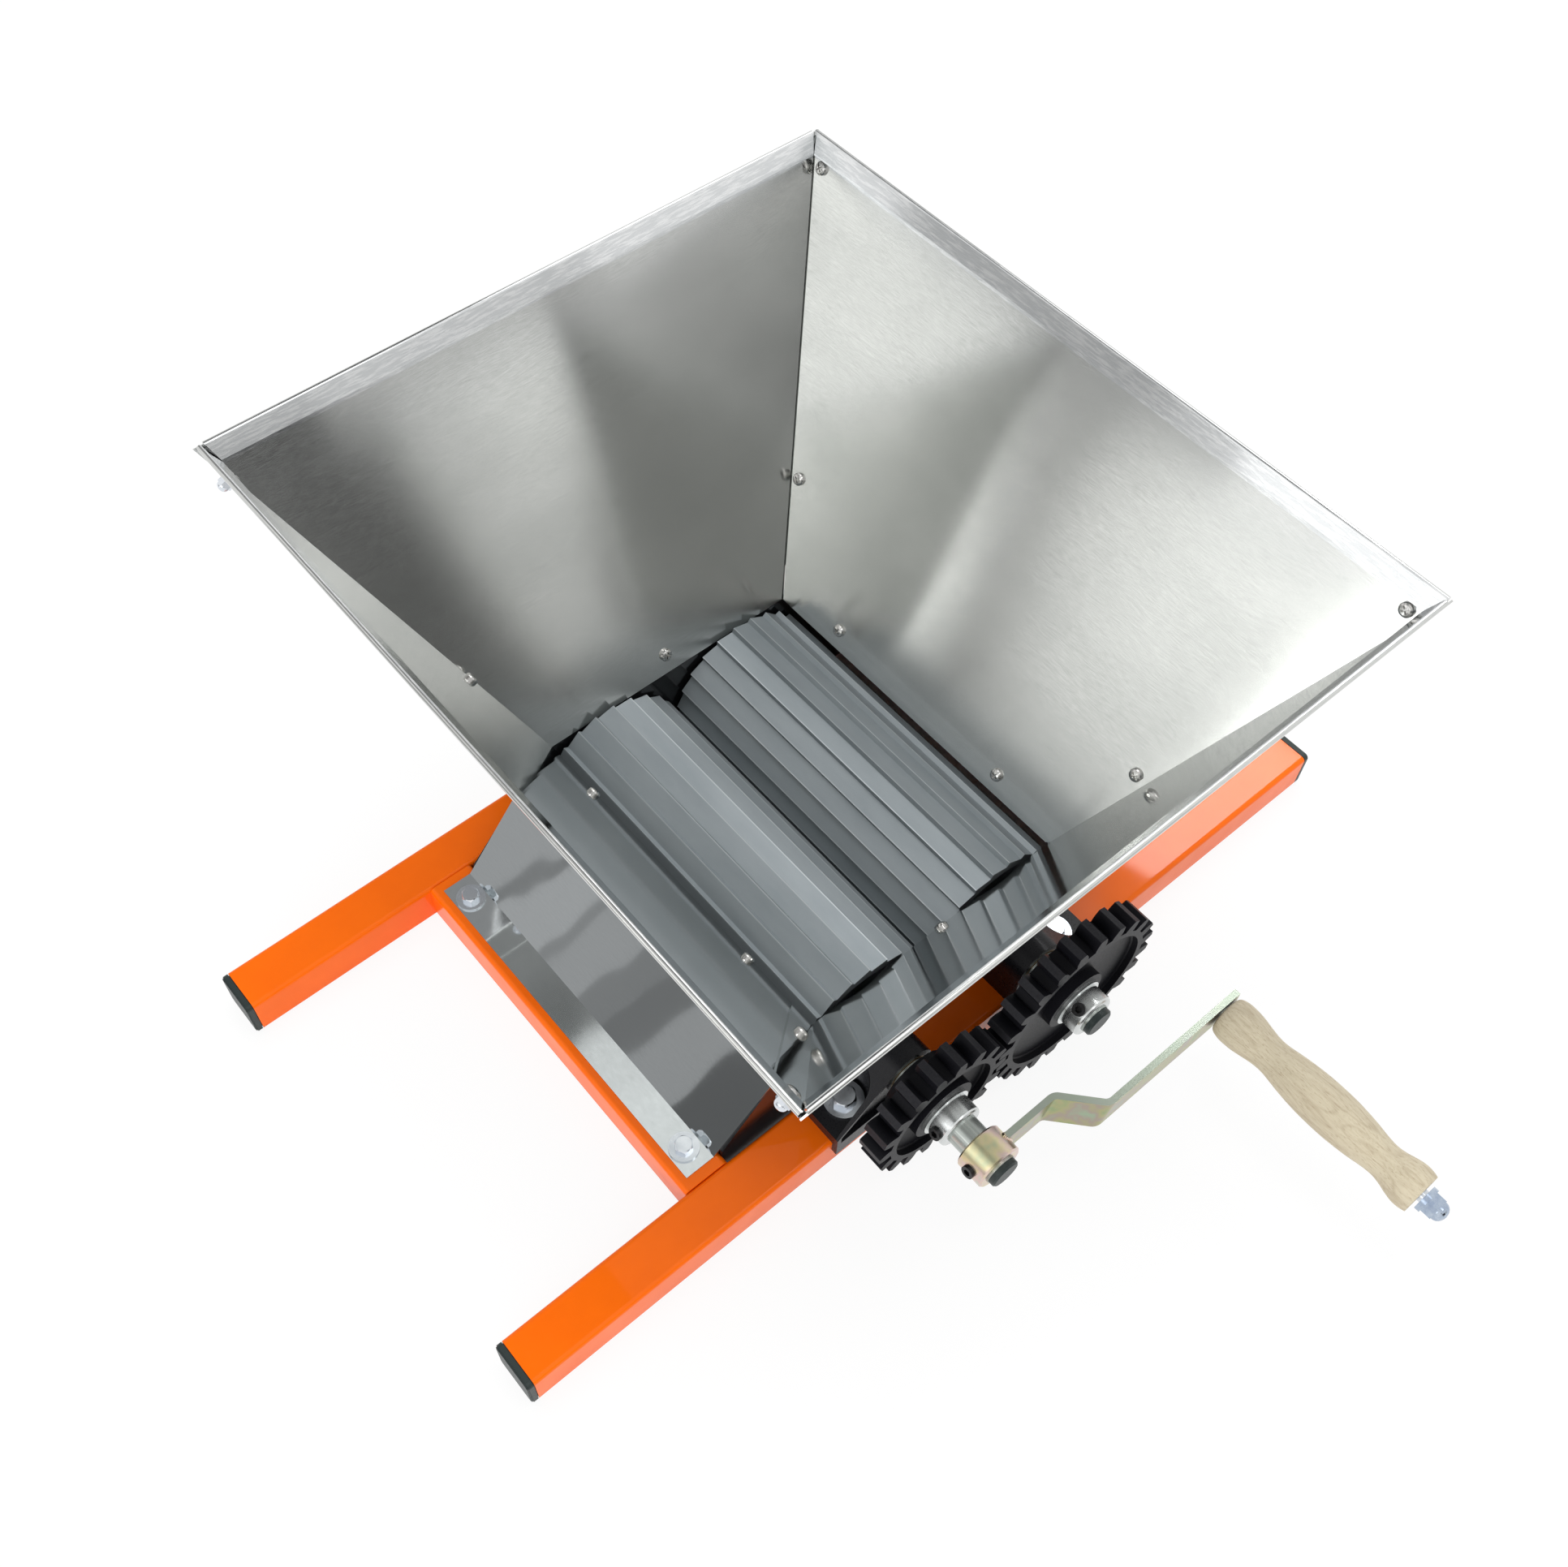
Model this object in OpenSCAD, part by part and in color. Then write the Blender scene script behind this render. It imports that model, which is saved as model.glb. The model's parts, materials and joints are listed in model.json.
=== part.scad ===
// Hand-cranked grape crusher: two sawtooth rollers, geared together, under a sheet hopper.
// Lengths are millimetres. X runs along the rails, Y along the shafts and Z up.
// The crank is at the front, which is -Y. The origin is in the middle of the frame,
// level with the underside of the rails.

/* [Frame] */
// Outside width and height of the square frame tube
tube = 30; // [28:1:33]
// Wall of the frame tube
tube_wall = 2; // [1.5:0.5:2.5]
// Outside corner radius of the frame tube
tube_corner = 3; // [2.8:0.2:4]
// Length of the two long rails
rail_l = 622; // [600:2:700]
// From a shaft's axis outwards to the inner face of the cross tube
cross_side = 104; // [102:0.5:110]
// Thickness of the visible flange of a tube end cap
cap_flange = 4.5; // [3:0.5:6]
// Depth that an end cap reaches into its tube
cap_plug = 14; // [8:1:25]

/* [Rollers] */
// Length of a roller
roller_l = 233; // [200:1:260]
// Gap between the teeth of the two rollers
nip = 1.6; // [0.8:0.2:3]
// Number of sawteeth round a roller
roller_teeth = 24; // [16:1:32]
// Height of the steep face of a sawtooth
saw_h = 3; // [2:0.2:4]
// Thickness of the roller's shell under the teeth
roller_wall = 5; // [3.5:0.5:8]
// Thickness of the roller's hub and of its ribs
roller_rib = 4; // [3:0.5:6]
// Number of ribs between a roller's hub and shell
roller_ribs = 6; // [4:1:8]
// Gap between a roller's end and the end wall
end_gap = 2.5; // [1:0.5:4]
// Gap between the rollers and the ground under the rails
floor_gap = 8.8; // [6:0.2:14]

/* [Shafts and bearings] */
// Diameter of the shafts
shaft_d = 20; // [18:1:22]
// Wall of the tubular shafts
shaft_wall = 2.5; // [2:0.5:3.5]
// Wall of the bearing bushes
bush_wall = 3; // [2:0.5:4]
// Plastic round a bush in its bearing block
block_wall = 4.5; // [3.5:0.5:6]
// From a shaft's axis to the outer end of its bearing block
block_reach = 51.5; // [50:0.5:56]
// From a shaft's axis outwards to the bolt of its bearing block
block_bolt_in = 32; // [31:0.5:35]
// Thickness of the block's lug under its bolt
lug_t = 9; // [7:0.5:11]
// How far the block's skirt hangs down over the rail
skirt_h = 10; // [6:0.5:14]
// Thickness of the block's skirt
skirt_t = 4; // [3:0.5:5]

/* [Gears] */
// Gear module
gear_module = 5; // [4.8:0.05:5.2]
// Teeth of the gear on the crank shaft
drive_teeth = 18; // [17:1:19]
// Teeth of the gear on the other shaft
driven_teeth = 24; // [23:1:25]
// Face width of the gears
gear_w = 16.5; // [14:0.5:20]
// Play between meshing teeth, along the pitch circle
backlash = 0.5; // [0.3:0.1:0.9]
// Depth of the dished recess in each side of a gear
gear_dish = 6; // [3:0.5:6.5]
// Thickness of the gear's rim inside the tooth roots
gear_rim = 4.2; // [3:0.2:6]
// Diameter of the gear's boss
boss_d = 42; // [38:1:46]
// How far the boss of a gear stands out behind its teeth
boss_back = 9; // [3:0.5:12]
// Length of the spacer between a bearing block and its gear's boss
spacer_l = 3.5; // [2:0.5:14]
// Outside diameter of the spacer
spacer_d = 23; // [23:0.5:29]

/* [Collars] */
// Diameter of a collar
collar_d = 28.8; // [27:0.2:31]
// Diameter of a collar's flange
collar_flange_d = 33; // [32:0.5:36]
// Thickness of a collar's flange
collar_flange_t = 2; // [1:0.5:3]
// Whole length of a collar
collar_l = 14.5; // [12:0.5:18]
// Diameter of the set screws
grub_d = 8; // [6:0.5:8]

/* [Crank] */
// From the crank shaft's axis to the handle's axis
crank_r = 166; // [130:1:180]
// How far the crank arm steps outwards
crank_jog = 23; // [14:0.5:30]
// Width of the crank arm's strip
arm_w = 20; // [18:0.5:24]
// Thickness of the crank arm's strip
arm_t = 4; // [3:0.5:5]
// Diameter of the crank hub
hub_d = 30; // [29:0.5:34]
// Length of the crank hub
hub_l = 18.5; // [14:0.5:24]
// Bare shaft between the drive collar and the crank hub
hub_gap = 11.5; // [4:0.5:20]

/* [Handle] */
// Length of the wooden grip
grip_l = 141; // [110:1:160]
// Largest diameter of the grip
grip_d = 28.6; // [26:0.2:32]
// Diameter of the pin that carries the grip
pin_d = 8; // [6:0.5:8]
// End play of the grip on its pin
grip_play = 2; // [1:0.5:3]

/* [Hopper] */
// Inside width of the hopper at the rim, along X
rim_w = 398; // [360:2:440]
// Inside length of the hopper at the rim, along Y
rim_l = 450; // [400:2:500]
// Height of the hopper above its mouth
hopper_rise = 235.8; // [180:0.2:260]
// From a shaft's axis outwards to the edge of the hopper's mouth
mouth_side = 38; // [34:0.5:42]
// Gap between the rollers and the edge of the hopper's mouth
mouth_gap = 7.5; // [6:0.5:12]
// Thickness of the hopper's sheet
sheet = 1; // [0.8:0.1:1.4]
// Height of the hem folded inwards at the rim
hem_h = 11; // [8:0.5:12]
// Thickness of the folded hem inside the sheet
hem_t = 2.2; // [1.6:0.1:3]
// How much further the hem's lower edge stands off the sheet
hem_open = 0.7; // [0:0.1:1.5]
// Width of the corner flanges
flange_w = 16; // [14:0.5:22]

/* [Chute] */
// Thickness of the deflector plates
plate_t = 1.2; // [1:0.1:1.6]
// Width of a deflector's foot on the cross tube
foot_w = 20; // [18:0.5:22]
// Gap between the end of a deflector's foot and the rail
foot_gap = 6.4; // [5:0.2:12]
// Height of the laps behind the hopper's lower edges
lap_h = 18; // [17:0.5:22]
// Thickness of the black end walls
wall_t = 3; // [2:0.5:4]
// Gap between an end wall and the rail, filled by a ring at each shaft
wall_gap = 4.4; // [2.5:0.2:7]

/* [Fasteners] */
// Diameter of the hopper's screws
screw_d = 4; // [3:0.5:4]
// Diameter of the hopper screws' heads
screw_head_d = 8; // [7:0.2:8.4]
// Diameter of the deflectors' bolts
foot_bolt_d = 6; // [5:0.5:6.5]
// Diameter of the washers under the deflectors' bolts
foot_washer_d = 18; // [14:0.5:18]
// Diameter of the bearing blocks' bolts
block_bolt_d = 8; // [6:0.5:8.5]
// Diameter of the washers under the blocks' bolts
block_washer_d = 24; // [18:0.5:24]

/* [Hidden] */
$fn = 64;
// Clearance of a shaft that turns in its bush, and of the grip on its pin
run_fit = 0.05;
// Clearance of pieces pushed onto a shaft or into a tube
slip_fit = 0.02;
// Clearance of a fastener in its hole, and of faces that move past each other
free_fit = 0.3;
// Overrun of cuts, so that no skin is left
over = 1;
// Length of thin rim that stays round an edge, and of small steps and chamfers
lip = 1;

// Pitch radii, the shafts' places and the rollers' radius
drive_pitch_r = gear_module * drive_teeth / 2;
driven_pitch_r = gear_module * driven_teeth / 2;
shaft_x = (drive_pitch_r + driven_pitch_r) / 2;
roller_r = shaft_x - nip / 2;
shaft_z = floor_gap + roller_r;
shaft_r = shaft_d / 2;
// Share of the module that the teeth stand above and below the pitch circle
tooth_shares = [0.66, 1.05];
pressure_angle = 20;
// How far each gear and roller is turned at rest, in degrees
mesh_turn = 0;
drive_roller_turn = 7.2;
driven_roller_turn = 4.9;
saw_step = 1.6;

// Planes across the machine, as distances from the middle along Y
wall_in = roller_l / 2 + end_gap;
wall_out = wall_in + wall_t;
rail_in = wall_out + wall_gap;
rail_mid = rail_in + tube / 2;
rail_out = rail_in + tube;
block_out = rail_out + skirt_t;
block_mid = rail_in + (block_out - rail_in) / 2;
gear_back = block_out + free_fit + spacer_l + boss_back;
gear_front = gear_back + gear_w;
collar_front = gear_front + collar_l;
hub_back = collar_front + hub_gap;
hub_front = hub_back + hub_l;
arm_in = hub_back + hub_l / 2;
arm_out = arm_in + crank_jog;
grip_back = arm_out + arm_t / 2 + lip;
grip_front = grip_back + grip_l;

// Cross tubes
cross_in = shaft_x + cross_side;
cross_mid = cross_in + tube / 2;

// Hopper mouth and rim, on the inside of the sheet
mouth_x = shaft_x + mouth_side;
mouth_y = wall_in;
mouth_z = shaft_z + sqrt(pow(roller_r + mouth_gap, 2) - pow(mouth_side, 2));
rim_x = rim_w / 2;
rim_y = rim_l / 2;
tilt_x = atan2(rim_x - mouth_x, hopper_rise);
tilt_y = atan2(rim_y - mouth_y, hopper_rise);
slant_x = hopper_rise / cos(tilt_x);
slant_y = hopper_rise / cos(tilt_y);
// Rise of a side panel's half length, and of an end panel's half width, per length of slant
side_flare = (rim_y - mouth_y) / slant_x;
end_flare = (rim_x - mouth_x) / slant_y;
hem_low = slant_x - hem_h;
// Corner screws: heights as shares of the slant, and their distance from the corner
corner_screw_shares = [0.293, 0.94];
corner_screw_in = flange_w / 2 - lip / 2;
// Screws that hold the deflectors and end walls to the hopper
mouth_screw_v = lap_h * 2 / 3;
side_screw_share = 0.59;
// How far the side panels stop short of the end panels, which lean over their edges
edge_cut = sheet;

// Bearing blocks
bush_r = shaft_r + bush_wall;
dome_r = bush_r + block_wall;
lug_z = tube + lug_t;
pocket_r = block_washer_d / 2 + 1.5 * lip;

// Deflectors
fold_in = tube - foot_w - 6 * lip;
fold_x = cross_in + fold_in;
foot_l = 2 * (rail_in - foot_gap);
foot_mid_x = fold_x + foot_w / 2;
foot_bolt_share = 0.875;
face_flare_share = 1.03;
face_l = foot_l * face_flare_share;

// Fasteners: hexagon width and height as shares of the thread's diameter, and the height of
// a domed cap as a share of its radius
hex_shares = [1.65, 0.68];
dome_share = 0.8;
nut_share = 0.8;
washer_t = 1.6;
weld_nut_h = 5;

// Parts of the crank: the strip's end past the pin, its step, and the lean of its bends
arm_over = 10.5;
jog_start = crank_r * 0.276;
jog_end = crank_r * 0.4;
bend_lean = 18;
bend_r = arm_t * 1.5;
grip_pin_x = crank_r - shaft_x;

// Sides of the machine
SIDES = [-1, 1];

// Square with round corners, centred
module round_square(w, r) {
    square([w, w - 2 * r], center = true);
    square([w - 2 * r, w], center = true);
    for (sx = SIDES, sy = SIDES)
        translate([sx * (w / 2 - r), sy * (w / 2 - r)]) circle(r);
}

// Section of the frame tube
module tube_section() {
    difference() {
        round_square(tube, tube_corner);
        round_square(tube - 2 * tube_wall, tube_corner - tube_wall);
    }
}

// Ring with its axis along Z
module ring(r_out, r_in, h) {
    difference() {
        cylinder(r = r_out, h = h);
        translate([0, 0, -over]) cylinder(r = r_in, h = h + 2 * over);
    }
}

// Hexagonal prism with its size across the flats
module hex_prism(flats, h) {
    cylinder(d = flats / cos(30), h = h, $fn = 6);
}

// Puts a shape drawn in X and Y, and extruded up, on a shaft: up becomes the way to the front
module on_shaft(side, y) {
    translate([side * shaft_x, y, shaft_z]) rotate([90, 0, 0]) children();
}

// Puts a shape on a hopper panel: X along the panel, Y up its slope, Z outwards.
// The turn is 0 for the right panel, 180 left, -90 front and 90 rear.
module on_panel(turn, half, tilt) {
    rotate([0, 0, turn]) translate([half, 0, mouth_z])
        rotate([0, tilt, 0]) rotate([90, 0, 90]) children();
}

module on_side(side) {
    on_panel(side > 0 ? 0 : 180, mouth_x, tilt_x) children();
}

module on_end(side) {
    on_panel(90 * side, mouth_y, tilt_y) children();
}

// Half length of a side panel at a height up the slant
function side_half(v) = mouth_y + side_flare * v;

// Outline of a strip of sheet that follows a line of points, with its thickness to the left.
// A strip with a middle line has half its thickness on either side.
function unit(a) = a / norm(a);
function left_of(a) = [-a[1], a[0]];
function mitre(a, b) = (left_of(a) + left_of(b)) / (1 + a * b);
function bend_offset(p, i, t) =
    let (n = len(p) - 1,
         into = i > 0 ? unit(p[i] - p[i - 1]) : unit(p[1] - p[0]),
         from = i < n ? unit(p[i + 1] - p[i]) : into)
    p[i] + t * mitre(into, from);
function bent_strip(p, t) =
    concat(p, [for (i = [len(p) - 1 : -1 : 0]) bend_offset(p, i, t)]);
function middle_strip(p, t) =
    concat([for (i = [0 : len(p) - 1]) bend_offset(p, i, -t / 2)],
        [for (i = [len(p) - 1 : -1 : 0]) bend_offset(p, i, t / 2)]);

// Points along a round bend of radius r at the corner b between a and c
function round_bend(a, b, c, r) =
    let (n = 6,
         u = unit(a - b), w = unit(c - b), half = acos(u * w) / 2,
         first = b + r / tan(half) * u, last = b + r / tan(half) * w,
         middle = b + r / sin(half) * unit(u + w))
    [for (k = [0 : n]) middle + r * unit(first + (last - first) * k / n - middle)];

// Frame

module rail(side) {
    difference() {
        translate([-rail_l / 2, side * rail_mid, tube / 2])
            rotate([90, 0, 90]) linear_extrude(rail_l) tube_section();
        for (s = SIDES)
            translate([s * (shaft_x + block_bolt_in), side * block_mid, tube - tube_wall - over])
                cylinder(d = block_bolt_d + 2 * free_fit, h = tube_wall + 2 * over);
    }
}

module cross_tube(side) {
    difference() {
        translate([side * cross_mid, rail_in, tube / 2])
            rotate([90, 0, 0]) linear_extrude(2 * rail_in) tube_section();
        for (s = SIDES)
            translate([side * foot_mid_x, s * foot_bolt_share * foot_l / 2, tube - tube_wall - over])
                cylinder(d = foot_bolt_d + 2 * free_fit, h = tube_wall + 2 * over);
    }
}

module front_rail() color([1, 0.4, 0.08]) rail(-1);
module rear_rail() color([1, 0.4, 0.08]) rail(1);
module left_cross_tube() color([1, 0.4, 0.08]) cross_tube(-1);
module right_cross_tube() color([1, 0.4, 0.08]) cross_tube(1);

// A flange with a narrow neck and a stepped edge outside, and a hollow plug inside the tube
module end_cap() {
    plug_w = tube - 2 * tube_wall - 2 * slip_fit;
    linear_extrude(lip / 2 + over) round_square(tube - 2 * lip, tube_corner);
    translate([0, 0, lip / 2]) linear_extrude(cap_flange - 1.5 * lip)
        round_square(tube, tube_corner);
    translate([0, 0, lip]) linear_extrude(cap_flange - 1.25 * lip)
        round_square(tube - lip, tube_corner);
    translate([0, 0, lip]) linear_extrude(cap_flange - lip)
        round_square(tube - 2 * lip, tube_corner);
    translate([0, 0, -cap_plug]) linear_extrude(cap_plug + over)
        difference() {
            round_square(plug_w, tube_corner - tube_wall);
            round_square(plug_w - 2 * tube_wall, tube_corner - tube_wall);
        }
}

module rail_end_caps() color([0.06, 0.06, 0.065])
    for (sx = SIDES, sy = SIDES)
        translate([sx * rail_l / 2, sy * rail_mid, tube / 2])
            rotate([90, 0, 90 * sx]) end_cap();

// Chute: deflectors and end walls

// Line of the deflector's inner face, from its foot to the top of its lap
function deflector_line() =
    let (out = [mouth_x + sheet * cos(tilt_x), mouth_z - sheet * sin(tilt_x)],
         up = [sin(tilt_x), cos(tilt_x)])
    [[fold_x, tube], out, out + lap_h * up];

module deflector() {
    line = deflector_line();
    difference() {
        union() {
            translate([fold_x, -foot_l / 2, tube]) cube([foot_w, foot_l, plate_t]);
            rotate([90, 0, 0]) translate([0, 0, -face_l / 2]) linear_extrude(face_l)
                polygon(bent_strip([line[2], line[1], line[0]], plate_t));
        }
        for (s = SIDES) {
            translate([foot_mid_x, s * foot_bolt_share * foot_l / 2, tube - over])
                cylinder(d = foot_bolt_d + 2 * free_fit, h = plate_t + 2 * over);
            on_side(1) translate([s * side_screw_share * mouth_y, mouth_screw_v, -over])
                cylinder(d = screw_d + 2 * free_fit, h = sheet + plate_t + 2 * over);
            // The lap stops short of the end panels
            on_side(1) translate([s * (mouth_y - free_fit + face_l / 2), lap_h, 0])
                cube([face_l, 2 * (lap_h + free_fit), 2 * (sheet + plate_t + over)], center = true);
        }
        // The face narrows towards the foot
        for (s = SIDES)
            translate([fold_x, s * foot_l / 2, 0])
                linear_extrude(mouth_z)
                    polygon([[over, 0], [-over, 0], [mouth_x - fold_x, s * (face_l - foot_l) / 2],
                        [mouth_x - fold_x, s * foot_l], [over, s * foot_l]]);
    }
}

module left_deflector() color([0.72, 0.73, 0.74]) mirror([1, 0, 0]) deflector();
module right_deflector() color([0.72, 0.73, 0.74]) deflector();

// End wall: fills the frame between the cross tubes and closes the chute's side
module end_wall(side) {
    line = deflector_line();
    low_z = floor_gap / 2;
    top_z = line[1][1] - lip / 10;
    slope = (line[1][0] - fold_x) / (line[1][1] - tube);
    top_x = fold_x + slope * (top_z - tube);
    edge_z = tube + (cross_in - fold_x) / slope;
    difference() {
        union() {
            translate([0, side > 0 ? wall_out : -wall_in, 0]) rotate([90, 0, 0])
                linear_extrude(wall_t)
                    polygon([[-cross_in, low_z], [cross_in, low_z], [cross_in, edge_z],
                        [top_x, top_z], [-top_x, top_z], [-cross_in, edge_z]]);
            on_end(side) translate([-mouth_x + 2 * lip, -2 * lip, sheet])
                cube([2 * (mouth_x - 2 * lip), lap_h + 2 * lip, wall_t * 2 / 3]);
            for (s = SIDES)
                on_shaft(s, side > 0 ? rail_in : -wall_out)
                    cylinder(r = dome_r, h = wall_gap);
        }
        for (s = SIDES)
            on_shaft(s, side > 0 ? rail_in + over : -wall_in + over)
                cylinder(r = shaft_r + lip, h = wall_gap + wall_t + 2 * over);
        on_end(side) translate([0, mouth_screw_v, -over])
            cylinder(d = screw_d + 2 * free_fit, h = sheet + wall_t + 2 * over);
    }
}

module front_end_wall() color([0.05, 0.05, 0.055]) end_wall(-1);
module rear_end_wall() color([0.05, 0.05, 0.055]) end_wall(1);

// Bearing blocks

// Outline of a block, seen along its shaft: a lug, a ramp and a dome round the shaft
module block_outline(inset) {
    r = dome_r - inset;
    low = tube - shaft_z + inset;
    ramp = [block_reach - inset, lug_z - shaft_z];
    touch = atan2(ramp[1], ramp[0]) + acos(r / norm(ramp));
    polygon([[ramp[0], low], ramp, [r * cos(touch), r * sin(touch)], [-r, 0], [-r, low]]);
    circle(r);
}

// Block for the front right corner
module bearing_block() {
    rim = 3 * lip;
    slot = block_bolt_d / 2 + free_fit;
    slide = 3 * lip;
    end = block_reach - block_bolt_in + over;
    wide = (block_out - rail_in) / 2 - 1.5 * lip;
    difference() {
        translate([0, -rail_in, shaft_z]) rotate([90, 0, 0]) difference() {
            linear_extrude(block_out - rail_in) block_outline(0);
            translate([0, 0, block_out - rail_in - rim]) linear_extrude(rim + over)
                difference() {
                    block_outline(rim);
                    circle(bush_r + 2 * lip);
                }
            translate([0, 0, -over]) cylinder(r = bush_r, h = block_out - rail_in + 2 * over);
        }
        // Pocket over the lug, wider towards its open outer end
        translate([block_bolt_in, -block_mid, lug_z]) {
            cylinder(r = pocket_r, h = shaft_z);
            linear_extrude(shaft_z)
                polygon([[0, -pocket_r], [end, -wide], [end, wide], [0, pocket_r]]);
        }
        // Slot that lets the block slide before its bolt is tightened
        translate([block_bolt_in, -block_mid, tube - over]) {
            for (s = SIDES) translate([s * slide, 0, 0]) cylinder(r = slot, h = lug_t + 2 * over);
            translate([-slide, -slot, 0]) cube([2 * slide, 2 * slot, lug_t + 2 * over]);
        }
    }
    // Skirt over the rail's outer face
    translate([-dome_r, -block_out, tube - skirt_h])
        cube([dome_r + block_reach, skirt_t, skirt_h + lip]);
}

module place_block(sx, sy) {
    translate([sx * shaft_x, 0, 0])
        mirror([sx > 0 ? 0 : 1, 0, 0]) mirror([0, sy > 0 ? 1 : 0, 0]) bearing_block();
}

module front_left_block() color([0.07, 0.07, 0.075]) place_block(-1, -1);
module front_right_block() color([0.07, 0.07, 0.075]) place_block(1, -1);
module rear_left_block() color([0.07, 0.07, 0.075]) place_block(-1, 1);
module rear_right_block() color([0.07, 0.07, 0.075]) place_block(1, 1);

module shaft_bushes() color([0.72, 0.55, 0.3])
    for (sx = SIDES, sy = SIDES)
        on_shaft(sx, sy > 0 ? block_out : -rail_in)
            ring(bush_r, shaft_r + run_fit, block_out - rail_in);

// Fasteners of the frame

// Bolt with its head up and the underside of the head at the origin
module hex_bolt(d, grip) {
    flats = hex_shares[0] * d;
    head = hex_shares[1] * d;
    intersection() {
        hex_prism(flats, head);
        cylinder(d1 = flats / cos(30) + head, d2 = flats * 0.94, h = head * 1.02);
    }
    translate([0, 0, -grip]) cylinder(d = d, h = grip + over / 2);
}

module at_foot_bolts(z) {
    for (sx = SIDES, sy = SIDES)
        translate([sx * foot_mid_x, sy * foot_bolt_share * foot_l / 2, z]) children();
}

module at_block_bolts(z) {
    for (sx = SIDES, sy = SIDES)
        translate([sx * (shaft_x + block_bolt_in), sy * block_mid, z]) children();
}

module deflector_bolts() color([0.78, 0.8, 0.82])
    at_foot_bolts(tube + plate_t + washer_t)
        hex_bolt(foot_bolt_d, washer_t + plate_t + tube_wall + weld_nut_h);

module deflector_washers() color([0.78, 0.8, 0.82])
    at_foot_bolts(tube + plate_t)
        ring(foot_washer_d / 2, foot_bolt_d / 2 + free_fit / 2, washer_t);

module deflector_nuts() color([0.78, 0.8, 0.82])
    at_foot_bolts(tube - tube_wall - weld_nut_h) difference() {
        hex_prism(hex_shares[0] * foot_bolt_d, weld_nut_h);
        translate([0, 0, -over]) cylinder(d = foot_bolt_d + slip_fit, h = weld_nut_h + 2 * over);
    }

module block_bolts() color([0.78, 0.8, 0.82])
    at_block_bolts(lug_z + washer_t)
        hex_bolt(block_bolt_d, washer_t + lug_t + tube_wall + weld_nut_h);

module block_washers() color([0.78, 0.8, 0.82])
    at_block_bolts(lug_z)
        ring(block_washer_d / 2, block_bolt_d / 2 + free_fit / 2, washer_t);

module block_nuts() color([0.78, 0.8, 0.82])
    at_block_bolts(tube - tube_wall - weld_nut_h) difference() {
        hex_prism(hex_shares[0] * block_bolt_d, weld_nut_h);
        translate([0, 0, -over]) cylinder(d = block_bolt_d + slip_fit, h = weld_nut_h + 2 * over);
    }

// Hopper

// Holes for the hopper's screws, along the sheet's normal
module screw_hole() {
    translate([0, 0, -over - hem_t]) cylinder(d = screw_d + free_fit, h = 4 * over + 2 * hem_t);
}

// Puts children at the two corner screws of one edge of a side panel
module at_corner_screws(edge) {
    for (share = corner_screw_shares) {
        v = share * slant_x;
        translate([edge * (side_half(v) - corner_screw_in), v, 0]) children();
    }
}

// Flange at a corner, drawn on a side panel. Its edge is -1 at the front and 1 at the rear
// of the right panel.
module corner_flange(edge, low, cut) {
    w = flange_w * sqrt(1 + side_flare * side_flare);
    high = hem_low - free_fit;
    difference() {
        linear_extrude(sheet)
            polygon([[edge * (side_half(low) + sheet), low],
                [edge * (side_half(high) + sheet), high],
                [edge * (side_half(high) - w), high],
                [edge * (side_half(low + cut) - w), low + cut]]);
        at_corner_screws(edge) screw_hole();
    }
}

// Plate with a folded hem. Its half length at the bottom and the flare are given, with an
// allowance that widens the plate and one that shortens the hem.
module hemmed_plate(half, flare, slant, wider, shorter) {
    low = slant - hem_h;
    nose = (hem_t + sheet) / 2;
    hem_edge = hem_t + hem_open;
    long = half + flare * slant;
    linear_extrude(sheet)
        polygon([[-half - wider, 0], [half + wider, 0],
            [half + flare * slant + wider, slant], [-half - flare * slant - wider, slant]]);
    intersection() {
        rotate([90, 0, 90]) linear_extrude(2 * long, center = true)
            polygon([[low, sheet / 2], [low, -hem_edge], [low + sheet, -hem_edge],
                [slant, -hem_t], [slant, sheet / 2]]);
        translate([0, 0, -2 * hem_edge]) linear_extrude(4 * hem_edge)
            polygon([[-half - flare * low + shorter, low - over],
                [half + flare * low - shorter, low - over],
                [long - shorter, slant + over], [-long + shorter, slant + over]]);
    }
    translate([0, slant, sheet - nose]) rotate([0, 90, 0])
        cylinder(r = nose, h = 2 * (long - shorter), center = true);
}

module side_panel(side) {
    on_side(side) difference() {
        hemmed_plate(mouth_y, side_flare, slant_x, -edge_cut, edge_cut);
        for (edge = SIDES) {
            at_corner_screws(edge) screw_hole();
            translate([edge * side_screw_share * mouth_y, mouth_screw_v, 0]) screw_hole();
        }
    }
}

module end_panel_plate(side, wider) {
    on_end(side) difference() {
        hemmed_plate(mouth_x, end_flare, slant_y, wider, hem_t + hem_open + free_fit);
        translate([0, mouth_screw_v, 0]) screw_hole();
    }
}

module hopper_left_panel() color([0.7, 0.71, 0.7]) side_panel(-1);
module hopper_right_panel() color([0.7, 0.71, 0.7]) side_panel(1);

// The front panel's flanges lie inside the side panels, and the rear panel's outside
module hopper_front_panel() color([0.7, 0.71, 0.7]) {
    end_panel_plate(-1, sheet);
    on_side(1) translate([0, 0, -sheet]) corner_flange(-1, 2 * lip, flange_w / 2);
    on_side(-1) translate([0, 0, -sheet]) corner_flange(1, 2 * lip, flange_w / 2);
}

module hopper_rear_panel() color([0.7, 0.71, 0.7]) {
    end_panel_plate(1, 2.4 * sheet);
    on_side(1) translate([0, 0, sheet]) corner_flange(1, lap_h + 2 * lip, flange_w / 2);
    on_side(-1) translate([0, 0, sheet]) corner_flange(-1, lap_h + 2 * lip, flange_w / 2);
}

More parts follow.
